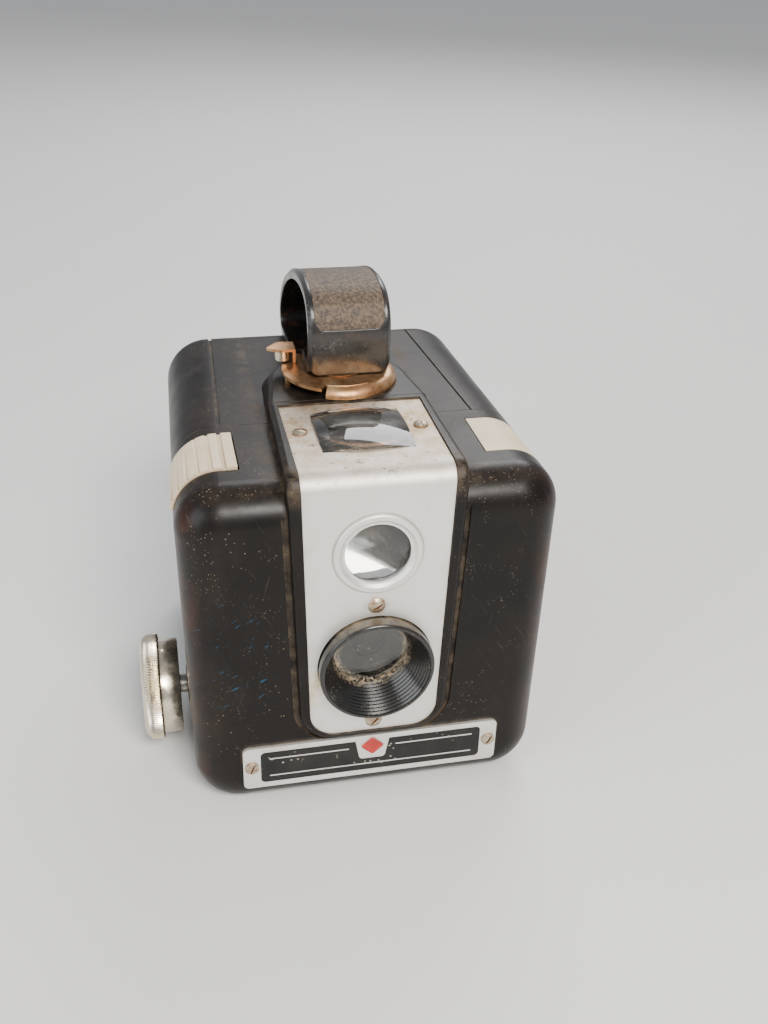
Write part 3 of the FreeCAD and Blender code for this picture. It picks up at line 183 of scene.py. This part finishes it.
    def finish(self, colour, roughness, normal=None, **constants):
        """Connects the shader, and sets the sockets that are the same all over the surface."""
        linked = isinstance(colour, bpy.types.NodeSocket)
        self.feed(self.shader.inputs["Base Color"], colour if linked else (*colour, 1))
        self.feed(self.shader.inputs["Roughness"], roughness)
        if normal is not None:
            self.feed(self.shader.inputs["Normal"], normal)
        for key, value in constants.items():
            self.shader.inputs[key.replace("_", " ")].default_value = value
        return self.material


# ---------------------------------------------------------------- materials
DUST = (0.30, 0.235, 0.16)
CORNER_DIRT_AND_SHADE = (0.12, 0.085, 0.055)
RUST = (0.25, 0.10, 0.035)


def middle(node):
    """Centre of a CAD node's box."""
    low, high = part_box(node)
    return (low + high) / 2


def worn_edges(s, low, high):
    """Patches rubbed brown along the two upright edges of the casing's front."""
    right = s.times(s.ramp(s.axis(X), high.x - 7 * MM, high.x - 1 * MM),
                    s.ramp(s.axis(Y), low.y + 30 * MM, low.y + 4 * MM))
    left = s.times(s.ramp(s.axis(X), low.x + 5 * MM, low.x + 1 * MM),
                   s.ramp(s.axis(Y), low.y + 14 * MM, low.y + 3 * MM))
    return s.times(s.plus(right, left), s.ramp(s.noise(90, 5, 0.65), 0.42, 0.62))


def front_rim_dust(s, low, high):
    """Dust on the rounded upper edge of the casing's front."""
    rim = s.times(s.ramp(s.axis(Z), high.z - 8 * MM, high.z - 2 * MM),
                  s.ramp(s.axis(Y), low.y + 9 * MM, low.y + 2 * MM))
    return s.times(rim, s.ramp(s.noise(190, 6, 0.72), 0.42, 0.66))


def moulding_dust(s, deck):
    """Fine and coarse specks everywhere, and more of them settled on the deck."""
    fine = s.clustered(s.specks(1300, 0.17), 130, 0.53, 0.66)
    coarse = s.clustered(s.specks(620, 0.13, (0.3, 0.1, 0.2)), 55, 0.55, 0.68, (1, 2, 3))
    settled = s.clustered(s.times(deck, s.specks(1150, 0.19, (0.1, 0.4, 0.3))), 90, 0.45, 0.60)
    return s.plus(s.plus(fine, coarse), settled)


def spine_foot_dirt(s, deck):
    """Dirt on the deck along the foot of the raised spine, on both sides."""
    spine_side = 20.8 * MM
    across = s.math("ABSOLUTE", s.axis(X))
    beside = s.times(s.ramp(across, spine_side + 4.7 * MM, spine_side + 0.7 * MM),
                     s.ramp(across, spine_side - 0.4 * MM, spine_side + 0.4 * MM))
    return s.times(beside, deck, s.ramp(s.noise(240, 5, 0.7), 0.44, 0.62))


def scratches(s):
    """Fine scratches in two directions."""
    upright = s.noise(70, 2, 0.5, stretch=(1.0, 1.0, 26.0), turn=(0, 1.0, 0))
    level = s.noise(60, 2, 0.5, stretch=(24.0, 1.0, 1.0), turn=(0.2, 0.25, 0.5))
    return s.plus(s.ramp(upright, 0.71, 0.75), s.ramp(level, 0.72, 0.76))


def scuffs(s, low):
    """Short slanting scuffs and spots in one place on the left of the front."""
    place = s.near((low.x + 11 * MM, low.y, 47 * MM), 4 * MM, 18 * MM)
    lines = s.ramp(s.noise(190, 4, 0.65, stretch=(1.0, 1.0, 5.0), turn=(0, -0.55, 0)), 0.645, 0.69)
    spots = s.clustered(s.specks(900, 0.18, (0.5, 0.2, 0.7)), 200, 0.52, 0.62)
    return s.times(place, s.plus(lines, spots))


def black_moulding():
    """Moulded phenolic: glossy brown-black with dust, scratches, worn brown edges and blue scuffs."""
    s = Surface("black_moulding")
    low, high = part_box("front_casing")
    deck = s.ramp(s.axis(Z), SHOULDER_TOP - 3.5 * MM, SHOULDER_TOP - 1.5 * MM)
    deck_haze = s.times(deck, s.ramp(s.noise(45, 6, 0.72), 0.38, 0.75))
    haze = s.ramp(s.noise(60, 6, 0.7, stretch=(1, 1, 0.35)), 0.48, 0.80)
    crevice_dirt_and_shade = s.crevice_dirt_and_shade(1.6 * MM, 260, 0.38, 0.62, 5, 0.65)
    spine_foot = spine_foot_dirt(s, deck)
    rim_dust = front_rim_dust(s, low, high)
    dust = moulding_dust(s, deck)
    scratch = scratches(s)

    broad = s.ramp(s.noise(28, 5, 0.6), 0.35, 0.7)
    colour = s.mix(broad, (0.0032, 0.0027, 0.0025), (0.0080, 0.0055, 0.0042))
    colour = s.mix(s.times(worn_edges(s, low, high), 0.7), colour, (0.060, 0.018, 0.010))
    colour = s.mix(s.times(haze, 0.13), colour, (0.085, 0.066, 0.048))
    colour = s.mix(s.times(deck_haze, 0.28), colour, (0.055, 0.036, 0.028))
    colour = s.mix(s.times(s.plus(crevice_dirt_and_shade, s.times(spine_foot, 0.35)), 0.62), colour, (0.23, 0.17, 0.11))
    colour = s.mix(s.times(rim_dust, 0.50), colour, (0.20, 0.145, 0.09))
    colour = s.mix(s.times(dust, 0.70), colour, DUST)
    colour = s.mix(s.times(scratch, 0.16), colour, (0.12, 0.095, 0.07))
    colour = s.mix(s.times(scuffs(s, low), 0.7), colour, (0.014, 0.085, 0.16))

    dirt = s.plus(s.plus(dust, crevice_dirt_and_shade), s.plus(rim_dust, s.times(spine_foot, 0.5)))
    rough = s.plus(s.ramp(s.noise(70, 5, 0.65), -0.55, 2.4), s.times(dirt, 0.38))
    rough = s.plus(rough, s.times(scratch, 0.12))
    height = s.plus(s.times(s.noise(160, 3), 0.35), s.times(dust, 0.8))
    height = s.math("SUBTRACT", height, s.times(scratch, 0.4))
    return s.finish(colour, rough, s.bump(height, 0.04 * MM, 0.6), Specular_IOR_Level=0.2, IOR=1.5)


def gloss_black(name, brown, dust_amount):
    """Polished black plastic with patches worn brown, a little dust and softened edges."""
    s = Surface(name)
    colour = s.mix(s.ramp(s.noise(60, 4), 0.35, 0.7), (0.006, 0.006, 0.006), (0.014, 0.010, 0.008))
    colour = s.mix(s.times(s.ramp(s.noise(140, 5, 0.7), 0.55, 0.68), brown), colour, (0.07, 0.028, 0.014))
    dust = s.clustered(s.specks(1100, 0.22), 150, 0.5, 0.65)
    crevice_dirt_and_shade = s.crevice_dirt_and_shade(1.2 * MM, 300, 0.3, 0.6)
    colour = s.mix(s.times(s.plus(dust, crevice_dirt_and_shade), dust_amount), colour, DUST)
    rough = s.plus(s.ramp(s.noise(110, 5, 0.6), -0.5, 3.2), s.times(s.plus(dust, crevice_dirt_and_shade), 0.4))
    return s.finish(colour, rough, s.bump(s.noise(220, 3), 0.03 * MM, 0.5, 0.7), IOR=1.6)


def hood_black():
    """Gloss black hood: dust lies on its upper outside and in a ring where the cone meets the glass."""
    s = Surface("hood_black")
    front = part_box("lens_hood")[0].y
    centre = middle("lens_hood")
    on_top = s.times(s.ramp(s.axis(Z), centre.z + 7 * MM, centre.z + 13 * MM),
                     s.ramp(s.axis(Y), front + 0.2 * MM, front + 1.4 * MM))
    ring = s.times(s.near((centre.x, front + 8.3 * MM, centre.z), 9.9 * MM, 0.9 * MM),
                   s.ramp(s.axis(Y), front + 7.0 * MM, front + 8.0 * MM))
    dirt = s.plus(s.times(on_top, s.ramp(s.noise(260, 5, 0.7), 0.32, 0.62)),
                  s.times(ring, s.ramp(s.noise(1300, 4, 0.7), 0.46, 0.60)))
    specks = s.clustered(s.specks(1300, 0.22), 170, 0.5, 0.62)
    colour = s.mix(s.ramp(s.noise(90, 4), 0.3, 0.7), (0.006, 0.006, 0.006), (0.016, 0.014, 0.012))
    colour = s.mix(s.times(dirt, 0.8), colour, (0.22, 0.165, 0.10))
    colour = s.mix(s.times(specks, 0.6), colour, DUST)
    rough = s.plus(0.22, s.times(s.plus(dirt, specks), 0.5))
    return s.finish(colour, rough, s.bump(s.noise(300, 3), 0.03 * MM, 0.4), IOR=1.55)


def tarnish(s, colour, front, on_top):
    """Brown tarnish with dark blotches on the plate's top, heavier towards the back."""
    mottled = s.ramp(s.noise(230, 6, 0.72), 0.40, 0.62)
    back = s.ramp(s.axis(Y), front + 4 * MM, front + 22 * MM)
    amount = s.times(on_top, s.plus(0.50, s.times(mottled, 0.45)), s.plus(0.60, s.times(back, 0.40)))
    colour = s.mix(amount, colour, (0.43, 0.30, 0.165))
    blotch = s.times(on_top, s.ramp(s.noise(420, 5, 0.75, shift=(3, 1, 2)), 0.57, 0.66))
    return s.mix(s.times(blotch, 0.65), colour, (0.15, 0.095, 0.05))


def front_stains(s, colour, front):
    """Stains on the plate's front: along its sides, in one place beside the hood and round a screw."""
    stain_place = (-14.5 * MM, front, 38 * MM)
    upper_screw = (0, front, 59.8 * MM)
    sides = s.times(s.ramp(s.math("ABSOLUTE", s.axis(X)), 12.5 * MM, 17.5 * MM),
                    s.ramp(s.noise(160, 5), 0.42, 0.72))
    colour = s.mix(s.times(sides, 0.35), colour, (0.52, 0.42, 0.28))
    stain = s.times(s.near(stain_place, 1.5 * MM, 7 * MM), s.ramp(s.noise(320, 5), 0.35, 0.65))
    colour = s.mix(s.times(stain, 0.75), colour, (0.62, 0.46, 0.20))
    ring = s.times(s.near(upper_screw, 2.2 * MM, 1.6 * MM), s.ramp(s.noise(500, 4), 0.3, 0.6))
    return s.mix(s.times(ring, 0.5), colour, (0.45, 0.34, 0.20))


def window_lines(s, colour, front):
    """Dark lines on both sides of the raised bead round the finder window."""
    out = s.distance((0, front, middle("viewfinder_window").z))
    for radius, width, amount in ((10.6, 0.35, 0.5), (9.0, 0.22, 0.35)):
        away = s.math("ABSOLUTE", s.math("SUBTRACT", out, radius * MM))
        colour = s.mix(s.times(s.ramp(away, width * MM, 0.0), amount), colour, (0.26, 0.21, 0.15))
    return colour


def satin_plate():
    """Satin aluminium: fine grain, brown tarnish on the top and round a screw, and dirt with painted
    shade in its corners.
    """
    s = Surface("satin_plate")
    low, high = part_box("faceplate")
    grain = s.noise(2600, 3, 0.6)
    on_top = s.ramp(s.axis(Z), high.z - 4.2 * MM, high.z - 0.3 * MM)
    crevice_dirt_and_shade = s.crevice_dirt_and_shade(1.0 * MM, 500, 0.25, 0.6)
    pits = s.clustered(s.specks(700, 0.13), 150, 0.50, 0.60)

    colour = s.mix(s.ramp(s.noise(45, 5), 0.3, 0.75), (0.83, 0.815, 0.78), (0.75, 0.735, 0.69))
    colour = tarnish(s, colour, low.y, on_top)
    colour = front_stains(s, colour, low.y)
    colour = window_lines(s, colour, low.y)
    # painted shade with dirt: corners darkened by an occlusion mask
    colour = s.mix(s.times(crevice_dirt_and_shade, 0.55), colour, (0.20, 0.15, 0.10))
    colour = s.mix(s.times(pits, 0.55), colour, (0.30, 0.24, 0.16))

    rough = s.plus(s.ramp(grain, -2.2, 3.2), s.times(s.plus(on_top, crevice_dirt_and_shade), 0.10))
    height = s.plus(s.times(grain, 0.5), s.times(s.noise(500, 4), 0.5))
    return s.finish(colour, rough, s.bump(height, 0.02 * MM, 0.5), Metallic=0.85)


def metal(name, light, dark, rough_low, rust=0.0, scale=300):
    """Metal with stains, dirt and painted shade in its corners and, where wanted, rust."""
    s = Surface(name)
    colour = s.mix(s.ramp(s.noise(scale, 5, 0.65), 0.35, 0.7), light, dark)
    corner = s.crevice(0.9 * MM)
    # painted shade with dirt: corners darkened by an occlusion mask
    colour = s.mix(s.times(corner, 0.65), colour, CORNER_DIRT_AND_SHADE)
    rough = s.plus(rough_low, s.times(s.ramp(s.noise(scale * 1.7, 4), 0.35, 0.75), 0.28))
    if rust:
        patch = s.ramp(s.noise(scale * 2.5, 5, 0.7), 0.52, 0.62)
        spread = s.plus(s.times(patch, rust), s.times(corner, rust))
        colour = s.mix(spread, colour, RUST)
        rough = s.plus(rough, s.times(spread, 0.4))
    return s.finish(colour, rough, s.bump(s.noise(scale * 4, 3), 0.02 * MM, 0.4), Metallic=1.0)


def ivory():
    """Aged ivory moulding, darkened brown in its grooves and corners by dirt and painted shade."""
    s = Surface("ivory_plastic")
    colour = s.mix(s.ramp(s.noise(90, 4), 0.3, 0.7), (0.72, 0.60, 0.43), (0.62, 0.49, 0.32))
    crevice_dirt_and_shade = s.crevice_dirt_and_shade(1.4 * MM, 380, 0.1, 0.5)
    # painted shade with brown dirt: grooves and corners darkened by an occlusion mask
    colour = s.mix(s.times(crevice_dirt_and_shade, 0.8), colour, (0.24, 0.16, 0.085))
    specks = s.clustered(s.specks(900, 0.16), 150, 0.5, 0.62)
    colour = s.mix(s.times(specks, 0.5), colour, (0.22, 0.15, 0.08))
    rough = s.plus(0.34, s.times(s.noise(260, 4), 0.22))
    return s.finish(colour, rough, s.bump(s.noise(420, 4), 0.03 * MM, 0.5), Subsurface_Weight=0.12,
                    Subsurface_Scale=0.001, IOR=1.5)


def grip_grain():
    """Grained olive-brown panel of the handle."""
    s = Surface("grip_grain")
    grain = s.noise(1150, 6, 0.72)
    colour = s.mix(s.ramp(grain, 0.42, 0.60), (0.022, 0.014, 0.009), (0.125, 0.082, 0.047))
    pale = s.ramp(s.noise(1900, 4, 0.7, shift=(4, 1, 2)), 0.60, 0.68)
    colour = s.mix(s.times(pale, 0.40), colour, (0.26, 0.185, 0.115))
    wear = s.ramp(s.noise(80, 4), 0.35, 0.75)
    colour = s.mix(s.times(wear, 0.35), colour, (0.070, 0.046, 0.027))
    height = s.plus(s.times(grain, 0.8), s.times(s.noise(500, 4), 0.3))
    return s.finish(colour, 0.62, s.bump(height, 0.16 * MM, 1.0))


def latch_brass():
    """Brass under worn plating: copper brown with bright rubbed patches, and dark dirt with painted shade
    in its corners.
    """
    s = Surface("latch_brass")
    colour = s.mix(s.ramp(s.noise(260, 6, 0.7), 0.36, 0.66), (0.52, 0.29, 0.14), (0.22, 0.10, 0.042))
    bright = s.ramp(s.noise(130, 4, shift=(2, 5, 1)), 0.50, 0.66)
    colour = s.mix(s.times(bright, 0.38), colour, (0.82, 0.60, 0.35))
    corner = s.crevice(1.4 * MM)
    # painted shade with dirt: corners darkened by an occlusion mask
    colour = s.mix(s.times(corner, 0.75), colour, (0.06, 0.032, 0.018))
    pits = s.clustered(s.specks(1500, 0.22), 260, 0.48, 0.6)
    colour = s.mix(s.times(pits, 0.6), colour, (0.09, 0.045, 0.02))
    rough = s.plus(0.24, s.times(s.noise(420, 5), 0.34))
    return s.finish(colour, rough, s.bump(s.noise(700, 5), 0.05 * MM, 0.6), Metallic=0.95)


def dark_paint(name, dusty=0.4):
    """Matt black paint with clusters of pale specks."""
    s = Surface(name)
    colour = s.mix(s.ramp(s.noise(120, 5), 0.35, 0.7), (0.010, 0.010, 0.010), (0.022, 0.020, 0.018))
    chips = s.clustered(s.specks(620, 0.20), 90, 0.48, 0.56)
    colour = s.mix(s.times(chips, dusty), colour, (0.45, 0.40, 0.32))
    rough = s.plus(0.38, s.times(s.noise(300, 4), 0.3))
    return s.finish(colour, rough, s.bump(s.noise(500, 4), 0.03 * MM, 0.5), Specular_IOR_Level=0.25)


def enamel_red():
    """Red enamel of the ornament."""
    s = Surface("red_enamel")
    colour = s.mix(s.ramp(s.noise(500, 4), 0.35, 0.7), (0.42, 0.025, 0.018), (0.30, 0.016, 0.012))
    rough = s.plus(0.22, s.times(s.noise(600, 4), 0.2))
    return s.finish(colour, rough, s.bump(s.noise(800, 3), 0.02 * MM, 0.4))


def glass(name, tint, dirty):
    """Clear glass with a film of dust, a ring of golden dust at the hood's foot and a few specks."""
    s = Surface(name)
    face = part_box("front_glass")[0].y
    centre = middle("front_glass")
    film = s.ramp(s.noise(120, 5, 0.65), 0.45, 0.85)
    specks = s.clustered(s.specks(1500, 0.2), 220, 0.47, 0.6)
    out = s.distance((centre.x, face, centre.z))
    ring = s.times(s.ramp(out, 7.0 * MM, 8.6 * MM), s.ramp(s.axis(Y), face + 2 * MM, face + 1 * MM))
    ring = s.times(ring, s.ramp(out, 11 * MM, 10.5 * MM))
    ring = s.times(ring, s.plus(s.specks(2600, 0.34), s.ramp(s.noise(1300, 4, 0.7), 0.50, 0.62)))
    s.finish(tint, s.plus(0.02, s.times(film, 0.05)), Transmission_Weight=1.0, IOR=1.5)

    dust = s.node("ShaderNodeBsdfDiffuse")
    s.feed(dust.inputs["Color"], s.mix(ring, (0.62, 0.57, 0.48), (0.46, 0.33, 0.17)))
    both = s.node("ShaderNodeMixShader")
    cover = s.plus(s.plus(s.times(film, dirty), s.times(specks, 0.6)), s.times(ring, 0.75))
    s.feed(both.inputs[0], cover)
    s.feed(both.inputs[1], s.shader.outputs[0])
    s.feed(both.inputs[2], dust.outputs[0])
    s.feed(s.output.inputs["Surface"], both.outputs[0])
    return s.material


def silvered():
    """Silvered mirror of the finder, a little tarnished."""
    s = Surface("silvered_mirror")
    colour = s.mix(s.ramp(s.noise(200, 4), 0.5, 0.8), (0.88, 0.88, 0.86), (0.72, 0.70, 0.64))
    return s.finish(colour, s.plus(0.03, s.times(s.noise(300, 4), 0.05)), Metallic=1.0)


def red_film():
    """Red film of the window in the back."""
    s = Surface("red_film")
    colour = s.mix(s.ramp(s.noise(200, 4), 0.4, 0.8), (0.42, 0.012, 0.01), (0.30, 0.01, 0.008))
    rough = s.plus(0.12, s.times(s.noise(500, 3), 0.1))
    return s.finish(colour, rough, Transmission_Weight=0.35, IOR=1.5)


def dress():
    """Gives every CAD node its finish, by the record's material slots."""
    finishes = {
        "black_moulding": black_moulding(),
        "hood_black": hood_black(),
        "handle_black": gloss_black("handle_black", brown=0.5, dust_amount=0.5),
        "grip_grain": grip_grain(),
        "satin_plate": satin_plate(),
        "dark_inlay": dark_paint("dark_inlay", dusty=0.9),
        "red_enamel": enamel_red(),
        "nickel_screw": metal("nickel_screw", (0.58, 0.51, 0.40), (0.36, 0.28, 0.18), 0.30, rust=0.70),
        "nickel_knob": metal("nickel_knob", (0.80, 0.73, 0.60), (0.62, 0.53, 0.38), 0.16, scale=160),
        "clear_glass": glass("clear_glass", (0.97, 0.98, 0.97), dirty=0.10),
        "silvered_mirror": silvered(),
        "ivory_plastic": ivory(),
        "spring_steel": metal("spring_steel", (0.55, 0.54, 0.52), (0.40, 0.37, 0.33), 0.28, rust=0.15),
        "blackened_steel": dark_paint("blackened_steel"),
        "latch_brass": latch_brass(),
        "red_film": red_film(),
    }
    for entry in frame["record"]["subparts"]:
        node = frame["nodes"][entry["node"]]
        node.data.materials.clear()
        node.data.materials.append(finishes[entry["material_slot"]])
    return finishes


# ---------------------------------------------------------------- detailed meshes
def add_mesh(name, verts, faces, material, smooth_angle=35):
    """Object made from points and faces, smooth except over edges sharper than an angle."""
    mesh = bpy.data.meshes.new(name)
    mesh.from_pydata(verts, [], faces)
    mesh.materials.append(material)
    made = bpy.data.objects.new(name, mesh)
    bpy.context.scene.collection.objects.link(made)
    work = bmesh.new()
    work.from_mesh(mesh)
    bmesh.ops.recalc_face_normals(work, faces=work.faces)
    for edge in work.edges:
        edge.smooth = len(edge.link_faces) < 2 or edge.calc_face_angle(0) < math.radians(smooth_angle)
    for face in work.faces:
        face.smooth = True
    work.to_mesh(mesh)
    work.free()
    return made


def turned(profile, centre, count, ripple=None):
    """Mesh turned round a line along X: profile holds (x, radius), ripple adds to the radius by angle."""
    verts = []
    for x, radius in profile:
        for i in range(count):
            angle = 2 * math.pi * i / count
            r = radius + (ripple(x, radius, angle) if ripple else 0.0)
            verts.append((x, centre.y + r * math.cos(angle), centre.z + r * math.sin(angle)))
    faces = []
    for k in range(len(profile) - 1):
        for i in range(count):
            j = (i + 1) % count
            faces.append((k * count + i, k * count + j, (k + 1) * count + j, (k + 1) * count + i))
    faces.append(tuple(range(count)))
    faces.append(tuple((len(profile) - 1) * count + i for i in range(count)))
    return verts, faces


def detailed_knob(material):
    """Winding knob with a fine straight knurl that runs out into its domed shoulder."""
    low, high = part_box("winding_knob")
    centre = middle("winding_knob")
    rim = (high.z - low.z) / 2
    drum = 12.4 * MM
    teeth = 120
    steps_per_tooth = 6
    knurl = 0.36 * MM
    knurl_start = rim - 1.4 * MM
    knurl_run = 1.1 * MM
    dome = 3.0 * MM
    dome_run = 2.6 * MM
    dome_steps = 12
    smooth_angle = 50

    outer_face = [(0.35, 0.4), (0.2, 1.2), (0.2, 2.9), (0.35, 3.2),
                  (0.8, 3.2), (0.8, 8.7), (0.3, 9.1), (0.02, 9.6)]
    profile = [(low.x + x * MM, radius * MM) for x, radius in outer_face]
    for i in range(dome_steps + 1):
        turn = math.pi / 2 * i / dome_steps
        profile.append((low.x + dome_run * (1 - math.cos(turn)), rim - dome + dome * math.sin(turn)))
    knurled_rim = [(3.4, 0), (4.4, 0), (4.75, 0.15), (4.9, 0.6)]
    profile += [(low.x + x * MM, rim - drop * MM) for x, drop in knurled_rim]
    profile += [(low.x + 4.95 * MM, drum), (high.x - 1.6 * MM, drum),
                (high.x - 1.4 * MM, drum - 0.2 * MM), (high.x - 1.4 * MM, drum - 1.4 * MM)]

    def ripple(x, radius, angle):
        """Inward offset of the knurl: none on the drum and the outer face, full near the rim."""
        deep = min(max((radius - knurl_start) / knurl_run, 0.0), 1.0)
        return -knurl * deep * (0.5 + 0.5 * math.cos(teeth * angle))

    verts, faces = turned(profile, centre, teeth * steps_per_tooth, ripple)
    made = add_mesh("knob_detail", verts, faces, material, smooth_angle)
    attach(made, "knob")
    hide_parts("winding_knob")


def closed_handle(material):
    """The handle's mesh, closed where the rear rivet's bore runs on through the strap above its foot.

    The CAD handle has that bore's end as a stray hole. Here the hole's lining is taken out, and the
    two rims that it leaves, in the strap's underside and top, are filled.
    """
    source = frame["nodes"]["handle"]
    rivets_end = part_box("handle_rivets")[1]
    head_r = 2.6 * MM
    bore_r = 1.6 * MM
    bore_x = rivets_end.x - head_r
    bore_y = rivets_end.y - head_r
    weld = 0.0005 * MM
    slack = 0.05 * MM

    work = bmesh.new()
    work.from_mesh(source.data)
    work.transform(source.matrix_world)
    bmesh.ops.remove_doubles(work, verts=work.verts, dist=weld)
    wall = set()
    for vert in work.verts:
        away = math.hypot(vert.co.x - bore_x, vert.co.y - bore_y)
        if abs(away - bore_r) < slack and vert.co.z > rivets_end.z:
            wall.add(vert)
    lining = [face for face in work.faces if all(vert in wall for vert in face.verts)]
    bmesh.ops.delete(work, geom=lining, context="FACES_ONLY")
    rims = [edge for edge in work.edges if edge.is_boundary and all(vert in wall for vert in edge.verts)]
    bmesh.ops.holes_fill(work, edges=rims, sides=0)
    verts = [vert.co.copy() for vert in work.verts]
    work.verts.index_update()
    faces = [tuple(vert.index for vert in face.verts) for face in work.faces]
    work.free()

    made = add_mesh("handle_closed", verts, faces, material)
    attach(made, "rear_half")
    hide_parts("handle")


def nameplate_rules(material):
    """Thin plain rules on the dark inlay: one along its foot and one on each side of the ornament."""
    low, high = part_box("nameplate_inlay")
    end = 26.0 * MM
    gap = 6.0 * MM
    half_width = 0.16 * MM
    proud = 0.07 * MM
    sunk = 0.02 * MM
    foot = low.z + 2.0 * MM
    head = high.z - 2.2 * MM
    front_face = (1, 3, 5, 7)
    side_faces = [(2 * i, 2 * i + 1, (2 * i + 3) % 8, (2 * i + 2) % 8) for i in range(4)]

    verts = []
    faces = []
    for x0, x1, z in ((-end, end, foot), (-end, -gap, head), (gap, end, head)):
        start = len(verts)
        for x, edge in ((x0, -1), (x1, -1), (x1, 1), (x0, 1)):
            for y in (low.y + sunk, low.y - proud):
                verts.append((x, y, z + edge * half_width))
        for quad in (front_face, *side_faces):
            faces.append(tuple(start + i for i in quad))
    made = add_mesh("nameplate_rules", verts, faces, material)
    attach(made, "front_half")


# ---------------------------------------------------------------- stage, light and camera
def stage_material():
    """Matt pale grey of the floor."""
    s = Surface("pale_floor")
    colour = s.mix(s.noise(6, 4), (0.66, 0.655, 0.64), (0.70, 0.695, 0.68))
    rough = s.plus(0.62, s.times(s.noise(30, 4), 0.1))
    return s.finish(colour, rough, s.bump(s.noise(400, 3), 0.05 * MM, 0.2))


def floor():
    """Plain pale floor that the object stands on."""
    half = 3.0
    mesh = bpy.data.meshes.new("floor")
    corners = [(-half, -half, 0), (half, -half, 0), (half, half, 0), (-half, half, 0)]
    mesh.from_pydata(corners, [], [(0, 1, 2, 3)])
    mesh.materials.append(stage_material())
    made = bpy.data.objects.new("floor", mesh)
    bpy.context.scene.collection.objects.link(made)


def area_light(name, place, aim, size, power, colour):
    """Soft rectangular light at a place, turned to its aim."""
    data = bpy.data.lights.new(name, "AREA")
    data.shape = "RECTANGLE"
    data.size, data.size_y = size
    data.energy = power
    data.color = colour
    made = bpy.data.objects.new(name, data)
    made.location = place
    made.rotation_euler = (Vector(aim) - Vector(place)).to_track_quat("-Z", "Y").to_euler()
    bpy.context.scene.collection.objects.link(made)


def lights():
    """Even studio light from all round, with a key in front, a fill on the left and one behind."""
    world = bpy.data.worlds.new("studio")
    bpy.context.scene.world = world
    world.use_nodes = True
    background = world.node_tree.nodes["Background"]
    background.inputs["Color"].default_value = (0.93, 0.95, 1.0, 1)
    background.inputs["Strength"].default_value = 0.55
    aim = (0, -0.02, 0.05)
    area_light("key", (0.10, -0.62, 0.62), aim, (0.30, 0.22), 11.0, (1.0, 0.96, 0.90))
    area_light("fill", (-0.75, -0.35, 0.40), aim, (0.6, 0.6), 5.0, (0.92, 0.96, 1.0))
    area_light("back", (0.35, 0.75, 0.75), aim, (0.6, 0.4), 8.0, (1.0, 1.0, 1.0))


def camera():
    """The scene's camera, looking down at the object from its front left."""
    place = Vector((-46.93, -260.41, 209.2)) * MM
    heading = math.radians(12.98)
    tilt = math.radians(-30.24)
    roll = math.radians(1.83)
    ahead = Vector((math.sin(heading) * math.cos(tilt),
                    math.cos(heading) * math.cos(tilt),
                    math.sin(tilt)))
    level = Vector((math.cos(heading), -math.sin(heading), 0))
    upright = level.cross(ahead)
    right = level * math.cos(roll) + upright * math.sin(roll)
    up = upright * math.cos(roll) - level * math.sin(roll)
    data = bpy.data.cameras.new("camera")
    data.lens = 39.26
    data.sensor_width = 36.0
    data.clip_start = 0.01
    made = bpy.data.objects.new("camera", data)
    made.matrix_world = Matrix((
        (right.x, up.x, -ahead.x, place.x),
        (right.y, up.y, -ahead.y, place.y),
        (right.z, up.z, -ahead.z, place.z),
        (0, 0, 0, 1)))
    bpy.context.scene.collection.objects.link(made)
    bpy.context.scene.camera = made


finishes = dress()
detailed_knob(finishes["nickel_knob"])
closed_handle(finishes["handle_black"])
nameplate_rules(finishes["satin_plate"])
floor()
lights()
camera()
